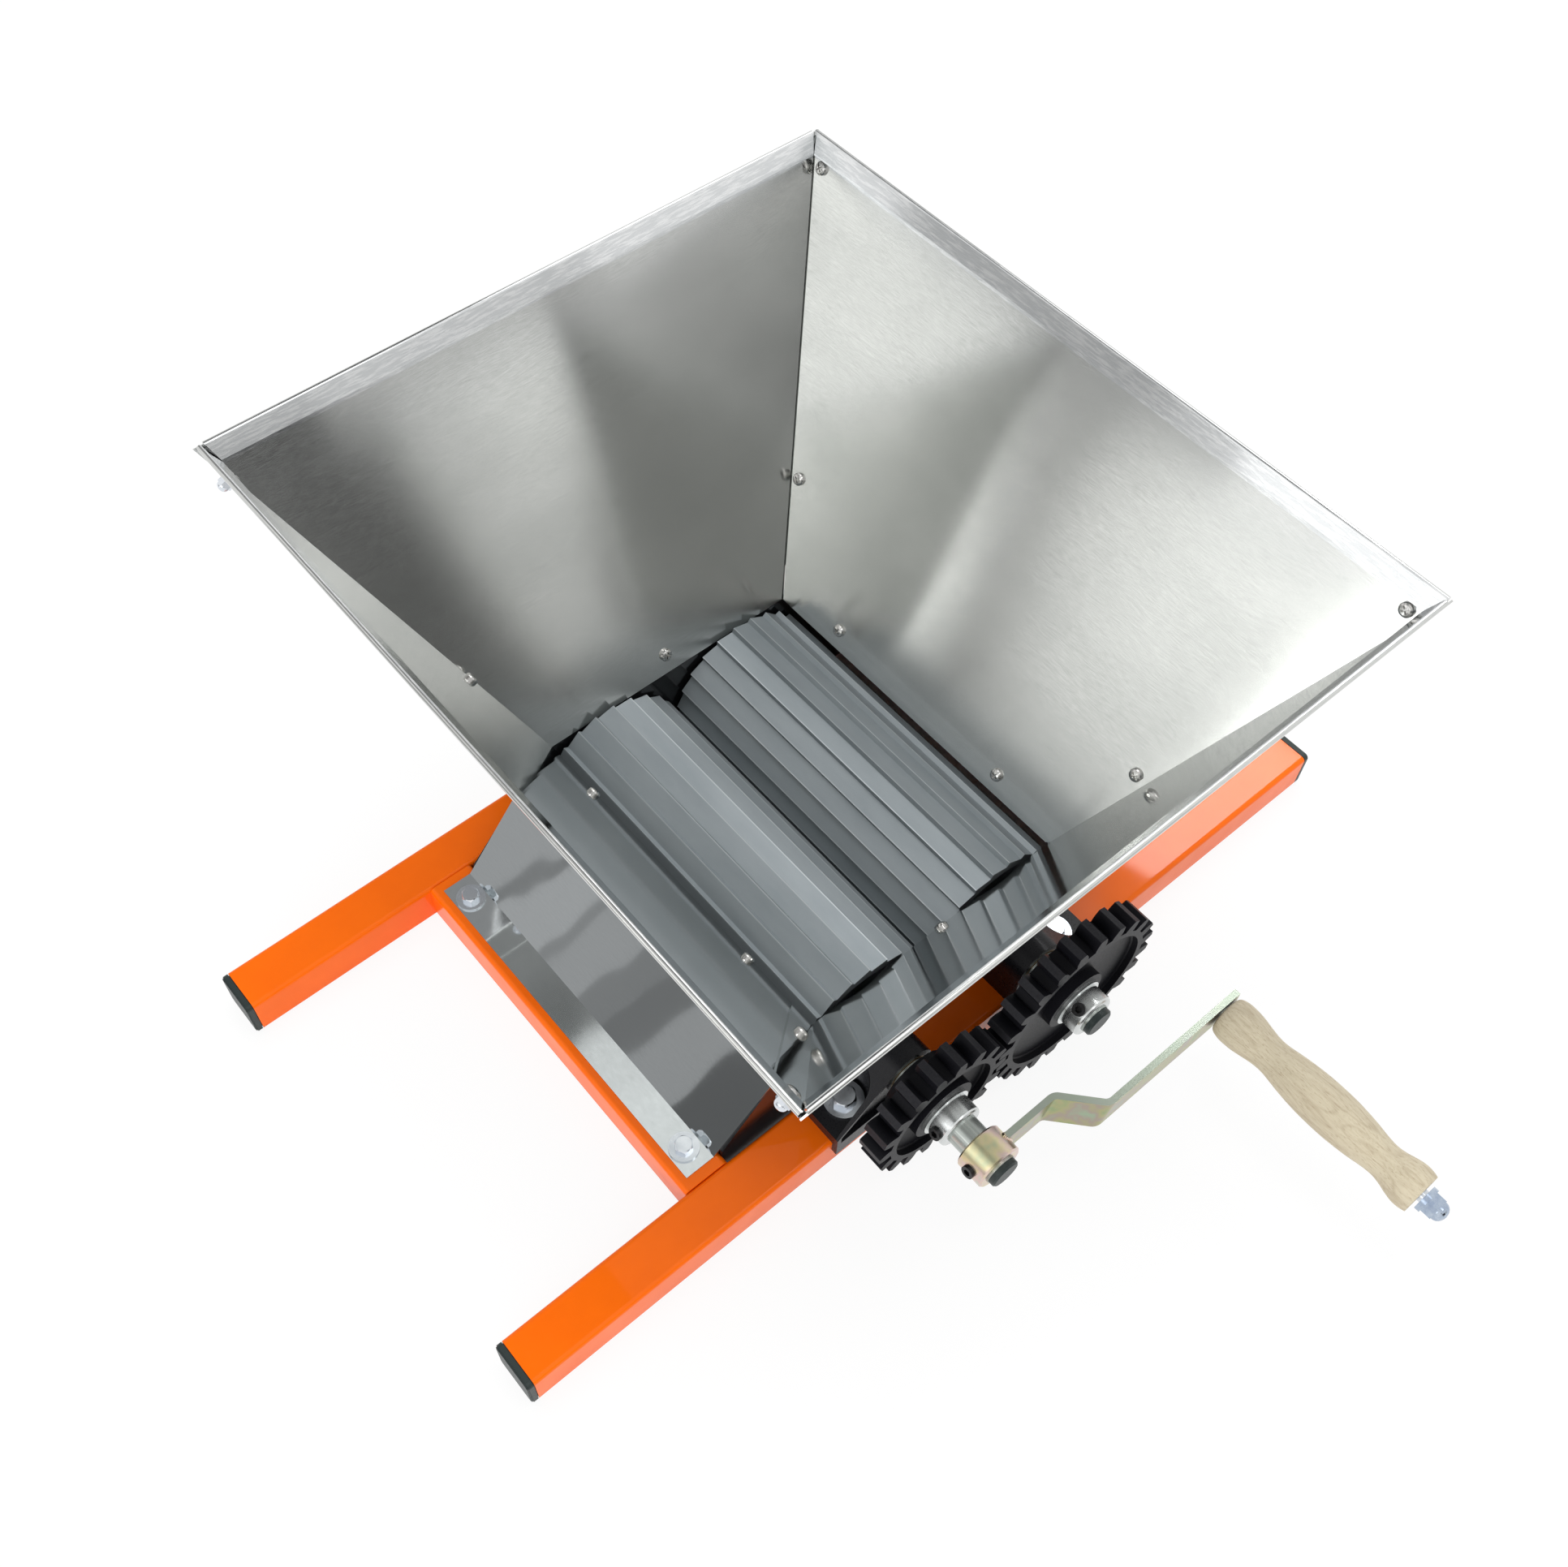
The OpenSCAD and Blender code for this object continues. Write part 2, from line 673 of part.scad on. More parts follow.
// Pan-head screw: head towards -Z with its underside at the origin, shank towards +Z
module pan_screw(grip) {
    head_h = screw_head_d * 0.34;
    slot_w = screw_d * 0.22;
    slot_l = screw_head_d * 0.55;
    difference() {
        rotate_extrude() {
            polygon([[0, 0], [screw_head_d / 2, 0], [screw_head_d / 2, -head_h * 0.45],
                [screw_head_d * 0.44, -head_h * 0.75], [screw_head_d * 0.33, -head_h * 0.94],
                [screw_head_d * 0.18, -head_h], [0, -head_h]]);
        }
        for (a = [0, 90]) rotate([0, 0, a])
            translate([-slot_l / 2, -slot_w / 2, -head_h - over])
                cube([slot_l, slot_w, head_h * 0.55 + over]);
    }
    translate([0, 0, -lip / 2]) cylinder(d = screw_d, h = grip + lip / 2);
}

// Domed cap that closes a nut's end
module nut_cap(r) {
    rotate_extrude()
        polygon([[0, 0], [r, 0],
            for (a = [0 : 15 : 75]) [r * cos(a), lip / 2 + r * dome_share * sin(a)],
            [0, lip / 2 + r * dome_share]]);
}

// Dome nut on the outside, with its seat at the origin
module dome_nut() {
    flats = screw_d * 1.75;
    difference() {
        union() {
            hex_prism(flats, screw_d * 0.8);
            translate([0, 0, screw_d * 0.8]) nut_cap(flats * 0.45);
        }
        translate([0, 0, -over]) cylinder(d = screw_d + slip_fit, h = screw_d * 1.2 + over);
    }
}

module corner_screws() color([0.75, 0.75, 0.74])
    for (side = SIDES, edge = SIDES) {
        front = edge * side < 0;
        seat = front ? -sheet : 0;
        on_side(side) at_corner_screws(edge) translate([0, 0, seat])
            rotate([0, 0, 45 * edge]) pan_screw(2 * sheet + screw_d);
    }

module corner_nuts() color([0.8, 0.81, 0.83])
    for (side = SIDES, edge = SIDES) {
        front = edge * side < 0;
        on_side(side) at_corner_screws(edge)
            translate([0, 0, front ? sheet : 2 * sheet]) dome_nut();
    }

module at_mouth_screws() {
    for (side = SIDES, edge = SIDES)
        on_side(side) translate([edge * side_screw_share * mouth_y, mouth_screw_v, 0]) children();
}

module mouth_screws() color([0.75, 0.75, 0.74]) {
    at_mouth_screws() rotate([0, 0, 20]) pan_screw(sheet + plate_t + screw_d);
    for (side = SIDES) on_end(side) translate([0, mouth_screw_v, 0])
        rotate([0, 0, 30]) pan_screw(sheet + wall_t * 2 / 3 + screw_d);
}

module plain_nut() {
    difference() {
        hex_prism(screw_d * 1.75, screw_d * nut_share);
        translate([0, 0, -over]) cylinder(d = screw_d + slip_fit, h = screw_d + 2 * over);
    }
}

module mouth_nuts() color([0.8, 0.81, 0.83]) {
    at_mouth_screws() translate([0, 0, sheet + plate_t]) plain_nut();
    for (side = SIDES) on_end(side) translate([0, mouth_screw_v, sheet + wall_t * 2 / 3])
        plain_nut();
}

// Rollers

// Sawtooth outline: each flat rises to a crest and drops steeply behind it
function saw_points(turn) = [
    for (i = [0 : roller_teeth - 1], foot = [0, 1])
        let (a = turn + i * 360 / roller_teeth + foot * saw_step,
             r = roller_r - foot * saw_h)
        r * [cos(a), sin(a)]
];

module roller_section(turn) {
    shell_in = roller_r - saw_h - roller_wall;
    hub_r = shaft_r + roller_rib;
    difference() {
        polygon(saw_points(turn));
        circle(shell_in);
    }
    difference() {
        union() {
            circle(hub_r);
            for (i = [0 : roller_ribs - 1]) rotate(i * 360 / roller_ribs)
                translate([shaft_r + lip, -roller_rib / 2])
                    square([shell_in - shaft_r, roller_rib]);
        }
        circle(shaft_r + slip_fit);
    }
}

module drive_roller() color([0.45, 0.48, 0.51])
    on_shaft(-1, roller_l / 2) mirror([1, 0, 0])
        linear_extrude(roller_l) roller_section(drive_roller_turn);

module driven_roller() color([0.45, 0.48, 0.51])
    on_shaft(1, roller_l / 2) linear_extrude(roller_l) roller_section(driven_roller_turn);

// Gears

function inv(a) = tan(a) * 180 / PI - a;

// Half angle of a tooth at a radius, for a gear of z teeth
function tooth_half(z, base_r, r) =
    let (play = backlash / (gear_module * z) * 180 / PI)
    90 / z - play + inv(pressure_angle) - inv(acos(min(1, base_r / r)));

// Outline of a spur gear with involute flanks
function gear_points(z, turn) =
    let (pitch_r = gear_module * z / 2,
         base_r = pitch_r * cos(pressure_angle),
         tip_r = pitch_r + tooth_shares[0] * gear_module,
         root_r = pitch_r - tooth_shares[1] * gear_module,
         steps = 4,
         start_r = max(base_r, root_r),
         radii = [root_r, for (k = [0 : steps]) start_r + (tip_r - start_r) * k / steps])
    [for (i = [0 : z - 1], side = SIDES, k = [0 : steps + 1])
        let (r = radii[side < 0 ? k : steps + 1 - k],
             a = turn + i * 360 / z + side * tooth_half(z, base_r, max(r, start_r)))
        r * [cos(a), sin(a)]];

// Recess in a gear's side, with a floor that falls towards the boss
module dish(rim_r) {
    rotate_extrude() polygon([[boss_d / 2, -over], [rim_r, -over], [rim_r, gear_dish * 0.65],
        [rim_r - lip, gear_dish * 0.75], [boss_d / 2, gear_dish]]);
}

module spur_gear(z, turn) {
    rim_r = gear_module * (z / 2 - tooth_shares[1]) - gear_rim;
    difference() {
        union() {
            linear_extrude(gear_w) polygon(gear_points(z, turn));
            translate([0, 0, -boss_back]) cylinder(d = boss_d, h = boss_back + over);
        }
        dish(rim_r);
        translate([0, 0, gear_w]) mirror([0, 0, 1]) dish(rim_r);
        translate([0, 0, -boss_back - over])
            cylinder(r = shaft_r + slip_fit, h = boss_back + gear_w + 2 * over);
    }
}

module drive_gear() color([0.08, 0.08, 0.085])
    on_shaft(-1, -gear_back) spur_gear(drive_teeth, mesh_turn);

// A tooth of the drive gear points at the other shaft, so a gap of this gear faces it
module driven_gear() color([0.08, 0.08, 0.085])
    on_shaft(1, -gear_back)
        spur_gear(driven_teeth,
            180 + 180 / driven_teeth - mesh_turn * drive_teeth / driven_teeth);

module spacer(side) {
    on_shaft(side, -block_out - free_fit)
        ring(spacer_d / 2, shaft_r + slip_fit, spacer_l);
}

module drive_spacer() color([0.75, 0.77, 0.76]) spacer(-1);
module driven_spacer() color([0.75, 0.77, 0.76]) spacer(1);

// Collars with a flange against the gear, and their set screws

module set_screw_hole(r_out, along, angle) {
    translate([0, 0, along]) rotate([0, 0, angle]) rotate([0, 90, 0])
        cylinder(d = grub_d + slip_fit, h = r_out + over);
}

module collar(side, angle) {
    along = (collar_l + collar_flange_t) / 2;
    edge = lip;
    on_shaft(side, -gear_front) difference() {
        rotate_extrude() polygon([[shaft_r + slip_fit, 0], [collar_flange_d / 2, 0],
            [collar_flange_d / 2, collar_flange_t], [collar_d / 2, collar_flange_t],
            [collar_d / 2, collar_l - 2 * edge], [collar_d / 2 - edge * 0.3, collar_l - edge],
            [collar_d / 2 - edge, collar_l - edge * 0.3], [collar_d / 2 - 2 * edge, collar_l],
            [shaft_r + slip_fit, collar_l]]);
        set_screw_hole(collar_flange_d / 2, along, angle);
    }
}

// Socket set screw that stands a little out of its collar
module set_screw(side, y, r_out, angle) {
    on_shaft(side, y) rotate([0, 0, angle]) rotate([0, 90, 0])
        translate([0, 0, shaft_r + slip_fit]) difference() {
            cylinder(d = grub_d, h = r_out + 2 * lip - shaft_r);
            translate([0, 0, (r_out - shaft_r) / 2])
                hex_prism(grub_d / 2, r_out);
        }
}

drive_screw_turn = 165;
driven_screw_turn = 125;
crank_screw_turn = 170;
collar_screw_y = -gear_front - (collar_l + collar_flange_t) / 2;

module drive_collar() color([0.78, 0.8, 0.8]) collar(-1, drive_screw_turn);
module driven_collar() color([0.78, 0.8, 0.8]) collar(1, driven_screw_turn);
module drive_set_screw() color([0.05, 0.05, 0.05])
    set_screw(-1, collar_screw_y, collar_d / 2, drive_screw_turn);
module driven_set_screw() color([0.05, 0.05, 0.05])
    set_screw(1, collar_screw_y, collar_d / 2, driven_screw_turn);

// Shafts: tubes with a plastic plug at each end

module shaft(side, front) {
    on_shaft(side, block_out + 2 * lip)
        ring(shaft_r, shaft_r - shaft_wall, front + block_out + 2 * lip);
}

module shaft_cap() {
    plug_l = shaft_r;
    rotate_extrude() polygon([[0, -plug_l], [shaft_r - shaft_wall - slip_fit, -plug_l],
        [shaft_r - shaft_wall - slip_fit, 0], [shaft_r - lip / 2, 0],
        [shaft_r - lip / 2, 3 * lip], [shaft_r - 1.5 * lip, 4 * lip], [0, 4 * lip]]);
}

module shaft_caps(side, front) {
    on_shaft(side, -front) shaft_cap();
    on_shaft(side, block_out + 2 * lip) mirror([0, 0, 1]) shaft_cap();
}

drive_front = hub_front + lip;
driven_front = collar_front + lip;

module drive_shaft() color([0.66, 0.68, 0.66]) shaft(-1, drive_front);
module driven_shaft() color([0.66, 0.68, 0.66]) shaft(1, driven_front);
module drive_shaft_caps() color([0.1, 0.1, 0.105]) shaft_caps(-1, drive_front);
module driven_shaft_caps() color([0.1, 0.1, 0.105]) shaft_caps(1, driven_front);

// Crank

module crank_hub() color([0.75, 0.7, 0.5])
    on_shaft(-1, -hub_back) difference() {
        rotate_extrude() polygon([[shaft_r + slip_fit, 0], [hub_d / 2 - lip, 0],
            [hub_d / 2, lip], [hub_d / 2, hub_l - lip], [hub_d / 2 - lip, hub_l],
            [shaft_r + slip_fit, hub_l]]);
        set_screw_hole(hub_d / 2, hub_l / 2, crank_screw_turn);
    }

module crank_set_screw() color([0.05, 0.05, 0.05])
    set_screw(-1, -hub_back - hub_l / 2, hub_d / 2, crank_screw_turn);

// Middle line of the arm's strip, seen along its leaning bends
function arm_line() =
    let (back = [-crank_r, -arm_in], first = [jog_start * cos(bend_lean), -arm_in],
         last = [jog_end * cos(bend_lean), -arm_out], front = [2 * crank_r, -arm_out])
    concat([back], round_bend(back, first, last, bend_r),
        round_bend(first, last, front, bend_r), [front]);

// Strip with a step outwards, welded to the hub and drilled for the handle's pin
module crank_arm() color([0.75, 0.7, 0.5])
    difference() {
        intersection() {
            translate([-shaft_x, 0, shaft_z]) rotate([0, bend_lean, 0])
                linear_extrude(4 * crank_r, center = true) polygon(middle_strip(arm_line(), arm_t));
            translate([hub_d / 4 - shaft_x, -arm_out - arm_t, shaft_z - arm_w / 2])
                cube([crank_r + arm_over - hub_d / 4, crank_jog + 2 * arm_t, arm_w]);
        }
        on_shaft(-1, -hub_back + over) cylinder(d = hub_d, h = hub_l + 2 * over);
        translate([grip_pin_x, -arm_out + arm_t, shaft_z]) rotate([90, 0, 0])
            cylinder(d = pin_d + slip_fit, h = 2 * arm_t);
    }

// Handle: a pin through the arm, the grip that turns on it, and its nuts and washers

module on_pin(y) {
    translate([grip_pin_x, -y, shaft_z]) rotate([90, 0, 0]) children();
}

pin_nut_h = nut_share * pin_d;
pin_back = arm_out - arm_t / 2;
pin_washer_y = grip_front + grip_play;
pin_nut_y = pin_washer_y + 2 * washer_t;
pin_front = pin_nut_y + pin_nut_h;

module handle_pin() color([0.78, 0.8, 0.83])
    on_pin(pin_back) cylinder(d = pin_d, h = pin_front - pin_back);

module handle_washers() color([0.78, 0.8, 0.83])
    for (i = [0, 1]) on_pin(pin_washer_y + i * washer_t)
        ring(pin_d, pin_d / 2 + slip_fit, washer_t);

// Nut with a domed cap over the pin's end
module handle_lock_nut() color([0.78, 0.8, 0.83])
    on_pin(pin_nut_y) {
        flats = hex_shares[0] * pin_d;
        difference() {
            hex_prism(flats, pin_nut_h);
            translate([0, 0, -over]) cylinder(d = pin_d + slip_fit, h = pin_nut_h + over);
        }
        translate([0, 0, pin_nut_h]) nut_cap(flats * 0.46);
    }

// Radius of the grip, as shares of half its largest diameter, at shares of its length
grip_shares = [[0, 0.66], [0.008, 0.83], [0.03, 0.925], [0.065, 0.965], [0.12, 0.93],
    [0.17, 0.84], [0.22, 0.76], [0.27, 0.76], [0.35, 0.88], [0.43, 0.965], [0.5, 1],
    [0.6, 0.99], [0.7, 0.9], [0.77, 0.79], [0.82, 0.75], [0.86, 0.8], [0.9, 0.905],
    [0.94, 0.98], [0.975, 0.965], [1, 0.905]];

// Smooth curve through the points, by Catmull and Rom's formula
function curve_point(p, i, s) =
    let (n = len(p) - 1,
         a = p[max(i - 1, 0)], b = p[i], c = p[min(i + 1, n)], d = p[min(i + 2, n)])
    (2 * b + (c - a) * s + (2 * a - 5 * b + 4 * c - d) * s * s
        + (3 * b - a - 3 * c + d) * s * s * s) / 2;

module handle_grip() color([0.85, 0.78, 0.62])
    on_pin(grip_back) {
        cuts = 4;
        bore = pin_d / 2 + run_fit;
        outline = [for (i = [0 : len(grip_shares) - 2], k = [0 : cuts - 1])
            curve_point(grip_shares, i, k / cuts)];
        last = grip_shares[len(grip_shares) - 1];
        rotate_extrude() polygon(concat([[bore, 0]],
            [for (p = outline) [p[1] * grip_d / 2, p[0] * grip_l]],
            [[last[1] * grip_d / 2, grip_l], [bore, grip_l]]));
    }

front_rail();
rear_rail();
left_cross_tube();
right_cross_tube();
rail_end_caps();
left_deflector();
right_deflector();
deflector_bolts();
deflector_washers();
deflector_nuts();
front_end_wall();
rear_end_wall();
front_left_block();
front_right_block();
rear_left_block();
rear_right_block();
shaft_bushes();
block_bolts();
block_washers();
block_nuts();
hopper_front_panel();
hopper_rear_panel();
hopper_left_panel();
hopper_right_panel();
corner_screws();
corner_nuts();
mouth_screws();
mouth_nuts();
drive_shaft();
drive_roller();
drive_gear();
drive_spacer();
drive_collar();
drive_set_screw();
drive_shaft_caps();
driven_shaft();
driven_roller();
driven_gear();
driven_spacer();
driven_collar();
driven_set_screw();
driven_shaft_caps();
crank_hub();
crank_set_screw();
crank_arm();
handle_pin();
handle_washers();
handle_lock_nut();
handle_grip();
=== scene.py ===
# %% [markdown]
# # A hand-cranked grape crusher
#
# Two sawtooth rollers turn against each other under a steel hopper, driven by a pair of gears
# and a crank. The machine's construction is already made: every tube, plate, gear and bolt
# comes in as a fixed frame, at its real size in metres. This lesson dresses that frame. It
# lights it as in a product photograph, gives each surface its finish and adds the bead that
# the welder left on the crank.

# %% Load the machine
import json
import math

import bpy
from mathutils import Matrix, Vector


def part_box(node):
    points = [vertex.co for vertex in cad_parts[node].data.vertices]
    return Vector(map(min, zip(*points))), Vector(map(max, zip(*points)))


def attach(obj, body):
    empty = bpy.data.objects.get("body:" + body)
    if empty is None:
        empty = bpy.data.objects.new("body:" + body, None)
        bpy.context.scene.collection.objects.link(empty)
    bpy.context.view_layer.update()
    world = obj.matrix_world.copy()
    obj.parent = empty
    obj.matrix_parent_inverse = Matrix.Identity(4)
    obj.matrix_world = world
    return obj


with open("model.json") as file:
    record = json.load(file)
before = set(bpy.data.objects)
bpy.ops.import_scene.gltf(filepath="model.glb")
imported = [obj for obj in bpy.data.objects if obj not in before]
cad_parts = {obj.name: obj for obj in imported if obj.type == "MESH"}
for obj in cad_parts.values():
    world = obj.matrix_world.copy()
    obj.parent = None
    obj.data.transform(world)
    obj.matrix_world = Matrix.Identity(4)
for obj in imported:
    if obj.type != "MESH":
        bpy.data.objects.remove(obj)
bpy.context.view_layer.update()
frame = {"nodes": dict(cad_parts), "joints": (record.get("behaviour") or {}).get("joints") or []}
MM_PER_M = 1000

# %% [markdown]
# ## The camera
#
# A photograph fixes the camera by its vanishing points. The rails, cross tubes and the hopper's
# rim run along X and Y, so the angles below are those at which the machine's own right angles
# fall where the photograph has them. A turn about the line of sight, the roll, is small but
# shows at the frame's ends. The camera needs no shift.

# %% Set the camera
CAMERA_PLACE = Vector((-0.3755, -0.4015, 0.9432))
CAMERA_TURN = math.radians(-42.322)
CAMERA_HEIGHT = math.radians(56.365)
CAMERA_ROLL = math.radians(2.346)
SENSOR_WIDTH_MM = 36
LENS_MM = 38.92


def camera_axes(turn, height, roll):
    """The camera's right, up and back directions."""
    back = Vector((math.sin(turn) * math.cos(height),
                   -math.cos(turn) * math.cos(height), math.sin(height)))
    level = Vector((math.cos(turn), math.sin(turn), 0))
    up = back.cross(level)
    right = level * math.cos(roll) + up * math.sin(roll)
    return right, up * math.cos(roll) - level * math.sin(roll), back


def add_object(name, data):
    item = bpy.data.objects.new(name, data)
    bpy.context.scene.collection.objects.link(item)
    return item


camera_data = bpy.data.cameras.new("photo_camera")
camera_data.sensor_width = SENSOR_WIDTH_MM
camera_data.lens = LENS_MM
camera = add_object("photo_camera", camera_data)
right, up, back = camera_axes(CAMERA_TURN, CAMERA_HEIGHT, CAMERA_ROLL)
camera.matrix_world = Matrix.Translation(CAMERA_PLACE) @ Matrix((right, up, back)).transposed().to_4x4()
bpy.context.scene.camera = camera
print("The camera stands", round(CAMERA_PLACE.length, 2), "m from the frame's middle")

# %% [markdown]
# ## Floor, background and light
#
# The machine stands on a white floor in front of a white background. Both look white because
# the rays from the camera, and those that metal mirrors, are told so. The light on the machine
# stays plain, so that each finish shows its own colour. A part of the floor's own shading is
# kept, and that is what carries the faint shadow. Under the machine, where little light comes,
# the floor keeps all of its own shading.

# %% Helpers for shader nodes
PURE_WHITE = (1, 1, 1, 1)


def add_node(tree, kind, **settings):
    """Adds a shader node. Settings with a capital letter set sockets, and others set the node."""
    node = tree.nodes.new(kind)
    for key, value in settings.items():
        if key[0].isupper():
            node.inputs[key.replace("_", " ")].default_value = value
        else:
            setattr(node, key, value)
    return node


def link(tree, source, target):
    tree.links.new(source, target)


def math_node(tree, operation, first, second=None, clamp=False):
    """A Math node on one or two values. Each is a number or an output socket."""
    node = add_node(tree, "ShaderNodeMath", operation=operation, use_clamp=clamp)
    for socket, value in zip(node.inputs, (first, second)):
        if hasattr(value, "links"):
            link(tree, value, socket)
        elif value is not None:
            socket.default_value = value
    return node.outputs[0]


def own_place(tree):
    """A point's place on its own object."""
    return add_node(tree, "ShaderNodeTexCoord").outputs["Object"]


def split_up(tree, vector):
    """The X, Y and Z of a vector, each as a value of its own."""
    split = add_node(tree, "ShaderNodeSeparateXYZ")
    link(tree, vector, split.inputs[0])
    return split.outputs


def seen_by_eye(tree):
    """A mask that is 1 for rays from the camera and for those that metal or glass mirrors."""
    ray = add_node(tree, "ShaderNodeLightPath").outputs
    seen = math_node(tree, "MAXIMUM", ray["Is Camera Ray"], ray["Is Glossy Ray"])
    return math_node(tree, "MAXIMUM", seen, ray["Is Transmission Ray"])


print("Helpers are ready")

# %% Make the white floor
FLOOR_WIDTH = 12.0
FLOOR_WHITE = (0.95, 0.95, 0.95, 1)
FLOOR_SHADE_KEPT = 0.11
UNDERSIDE = (0.18, 0.14)  # half the base's length and width, where the floor lies in the dark
UNDERSIDE_BLUR = 0.02


def make_floor():
    mesh = bpy.data.meshes.new("floor")
    half = FLOOR_WIDTH / 2
    corners = [(-half, -half, 0), (half, -half, 0), (half, half, 0), (-half, half, 0)]
    mesh.from_pydata(corners, [], [(0, 1, 2, 3)])
    floor = add_object("floor", mesh)
    material = bpy.data.materials.new("floor_white")
    material.use_nodes = True
    tree = material.node_tree
    tree.nodes.clear()
    shade = add_node(tree, "ShaderNodeBsdfDiffuse", Color=FLOOR_WHITE)
    glow = add_node(tree, "ShaderNodeEmission", Color=PURE_WHITE, Strength=1.0)
    place = split_up(tree, own_place(tree))
    outside = []
    for axis, edge in zip("XY", UNDERSIDE):
        ramp = add_node(tree, "ShaderNodeMapRange", interpolation_type="SMOOTHSTEP")
        link(tree, math_node(tree, "ABSOLUTE", place[axis]), ramp.inputs["Value"])
        ramp.inputs["From Min"].default_value = edge - UNDERSIDE_BLUR
        ramp.inputs["From Max"].default_value = edge
        outside.append(ramp.outputs["Result"])
    clear = math_node(tree, "MAXIMUM", *outside)
    whiten = math_node(tree, "MULTIPLY", clear, 1 - FLOOR_SHADE_KEPT)
    mix = add_node(tree, "ShaderNodeMixShader")
    out = add_node(tree, "ShaderNodeOutputMaterial")
    link(tree, math_node(tree, "MULTIPLY", seen_by_eye(tree), whiten), mix.inputs[0])
    link(tree, shade.outputs[0], mix.inputs[1])
    link(tree, glow.outputs[0], mix.inputs[2])
    link(tree, mix.outputs[0], out.inputs["Surface"])
    mesh.materials.append(material)


make_floor()
print("The floor is", FLOOR_WIDTH, "m wide")

# %% Make the background
WORLD_LIGHT = 0.66


def make_world():
    world = bpy.data.worlds.new("white_room")
    bpy.context.scene.world = world
    world.use_nodes = True
    tree = world.node_tree
    tree.nodes.clear()
    light = add_node(tree, "ShaderNodeBackground", Color=PURE_WHITE, Strength=WORLD_LIGHT)
    white = add_node(tree, "ShaderNodeBackground", Color=PURE_WHITE, Strength=1.0)
    mix = add_node(tree, "ShaderNodeMixShader")
    out = add_node(tree, "ShaderNodeOutputWorld")
    link(tree, seen_by_eye(tree), mix.inputs[0])
    link(tree, light.outputs[0], mix.inputs[1])
    link(tree, white.outputs[0], mix.inputs[2])
    link(tree, mix.outputs[0], out.inputs["Surface"])


make_world()
bpy.context.scene.view_settings.view_transform = "Standard"
print("The room lights the machine at", WORLD_LIGHT)

# %% [markdown]
# Soft boxes are area lamps. One large one above gives the tops of the tubes their even colour,
# a smaller one on each side models the rounded edges, and a low one lights the flanks of the
# tubes. They light the machine but don't show in its metal: what the metal mirrors is set
# apart, in the next cell.

# %% Hang the lamps
def aim(place, target):
    """Rotation that turns an object's -Z towards a target."""
    return (Vector(target) - Vector(place)).to_track_quat("-Z", "Y").to_matrix().to_4x4()


def soft_box(name, place, target, size, watts):
    data = bpy.data.lights.new(name, "AREA")
    data.shape = "RECTANGLE"
    data.size, data.size_y = size
    data.energy = watts
    lamp = add_object(name, data)
    lamp.matrix_world = Matrix.Translation(Vector(place)) @ aim(place, target)
    lamp.visible_glossy = False
    return lamp


MIDDLE = (0, 0, 0.1)
LOW_MIDDLE = (-0.1, -0.1, 0.03)
SOFT_BOXES = [
    soft_box("top_box", (0.2, 0.3, 2.0), MIDDLE, size=(1.6, 1.4), watts=27),
    soft_box("left_box", (-1.8, -0.5, 1.0), MIDDLE, size=(0.9, 1.5), watts=8),
    soft_box("low_box", (-1.6, -1.1, 0.5), LOW_MIDDLE, size=(1.8, 0.4), watts=12),
    soft_box("right_box", (1.7, -0.5, 1.2), MIDDLE, size=(0.9, 1.3), watts=9),
]
print(len(SOFT_BOXES), "soft boxes are up")

# %% [markdown]
# Brushed sheet mirrors the room as long streaks, so a plain white room would leave it blank.
# Photographers hang black, grey and glowing cards round the set for that. Here each card is a
# patch of a large dome over the machine, given by rows of height and of its left and right
# edge, in degrees as on a compass that starts at the machine's right and turns to the rear.
# The first number is the card's brightness, where 1 is the white of the room. The cards are
# seen only in reflections. They cast no shadow and light nothing else.

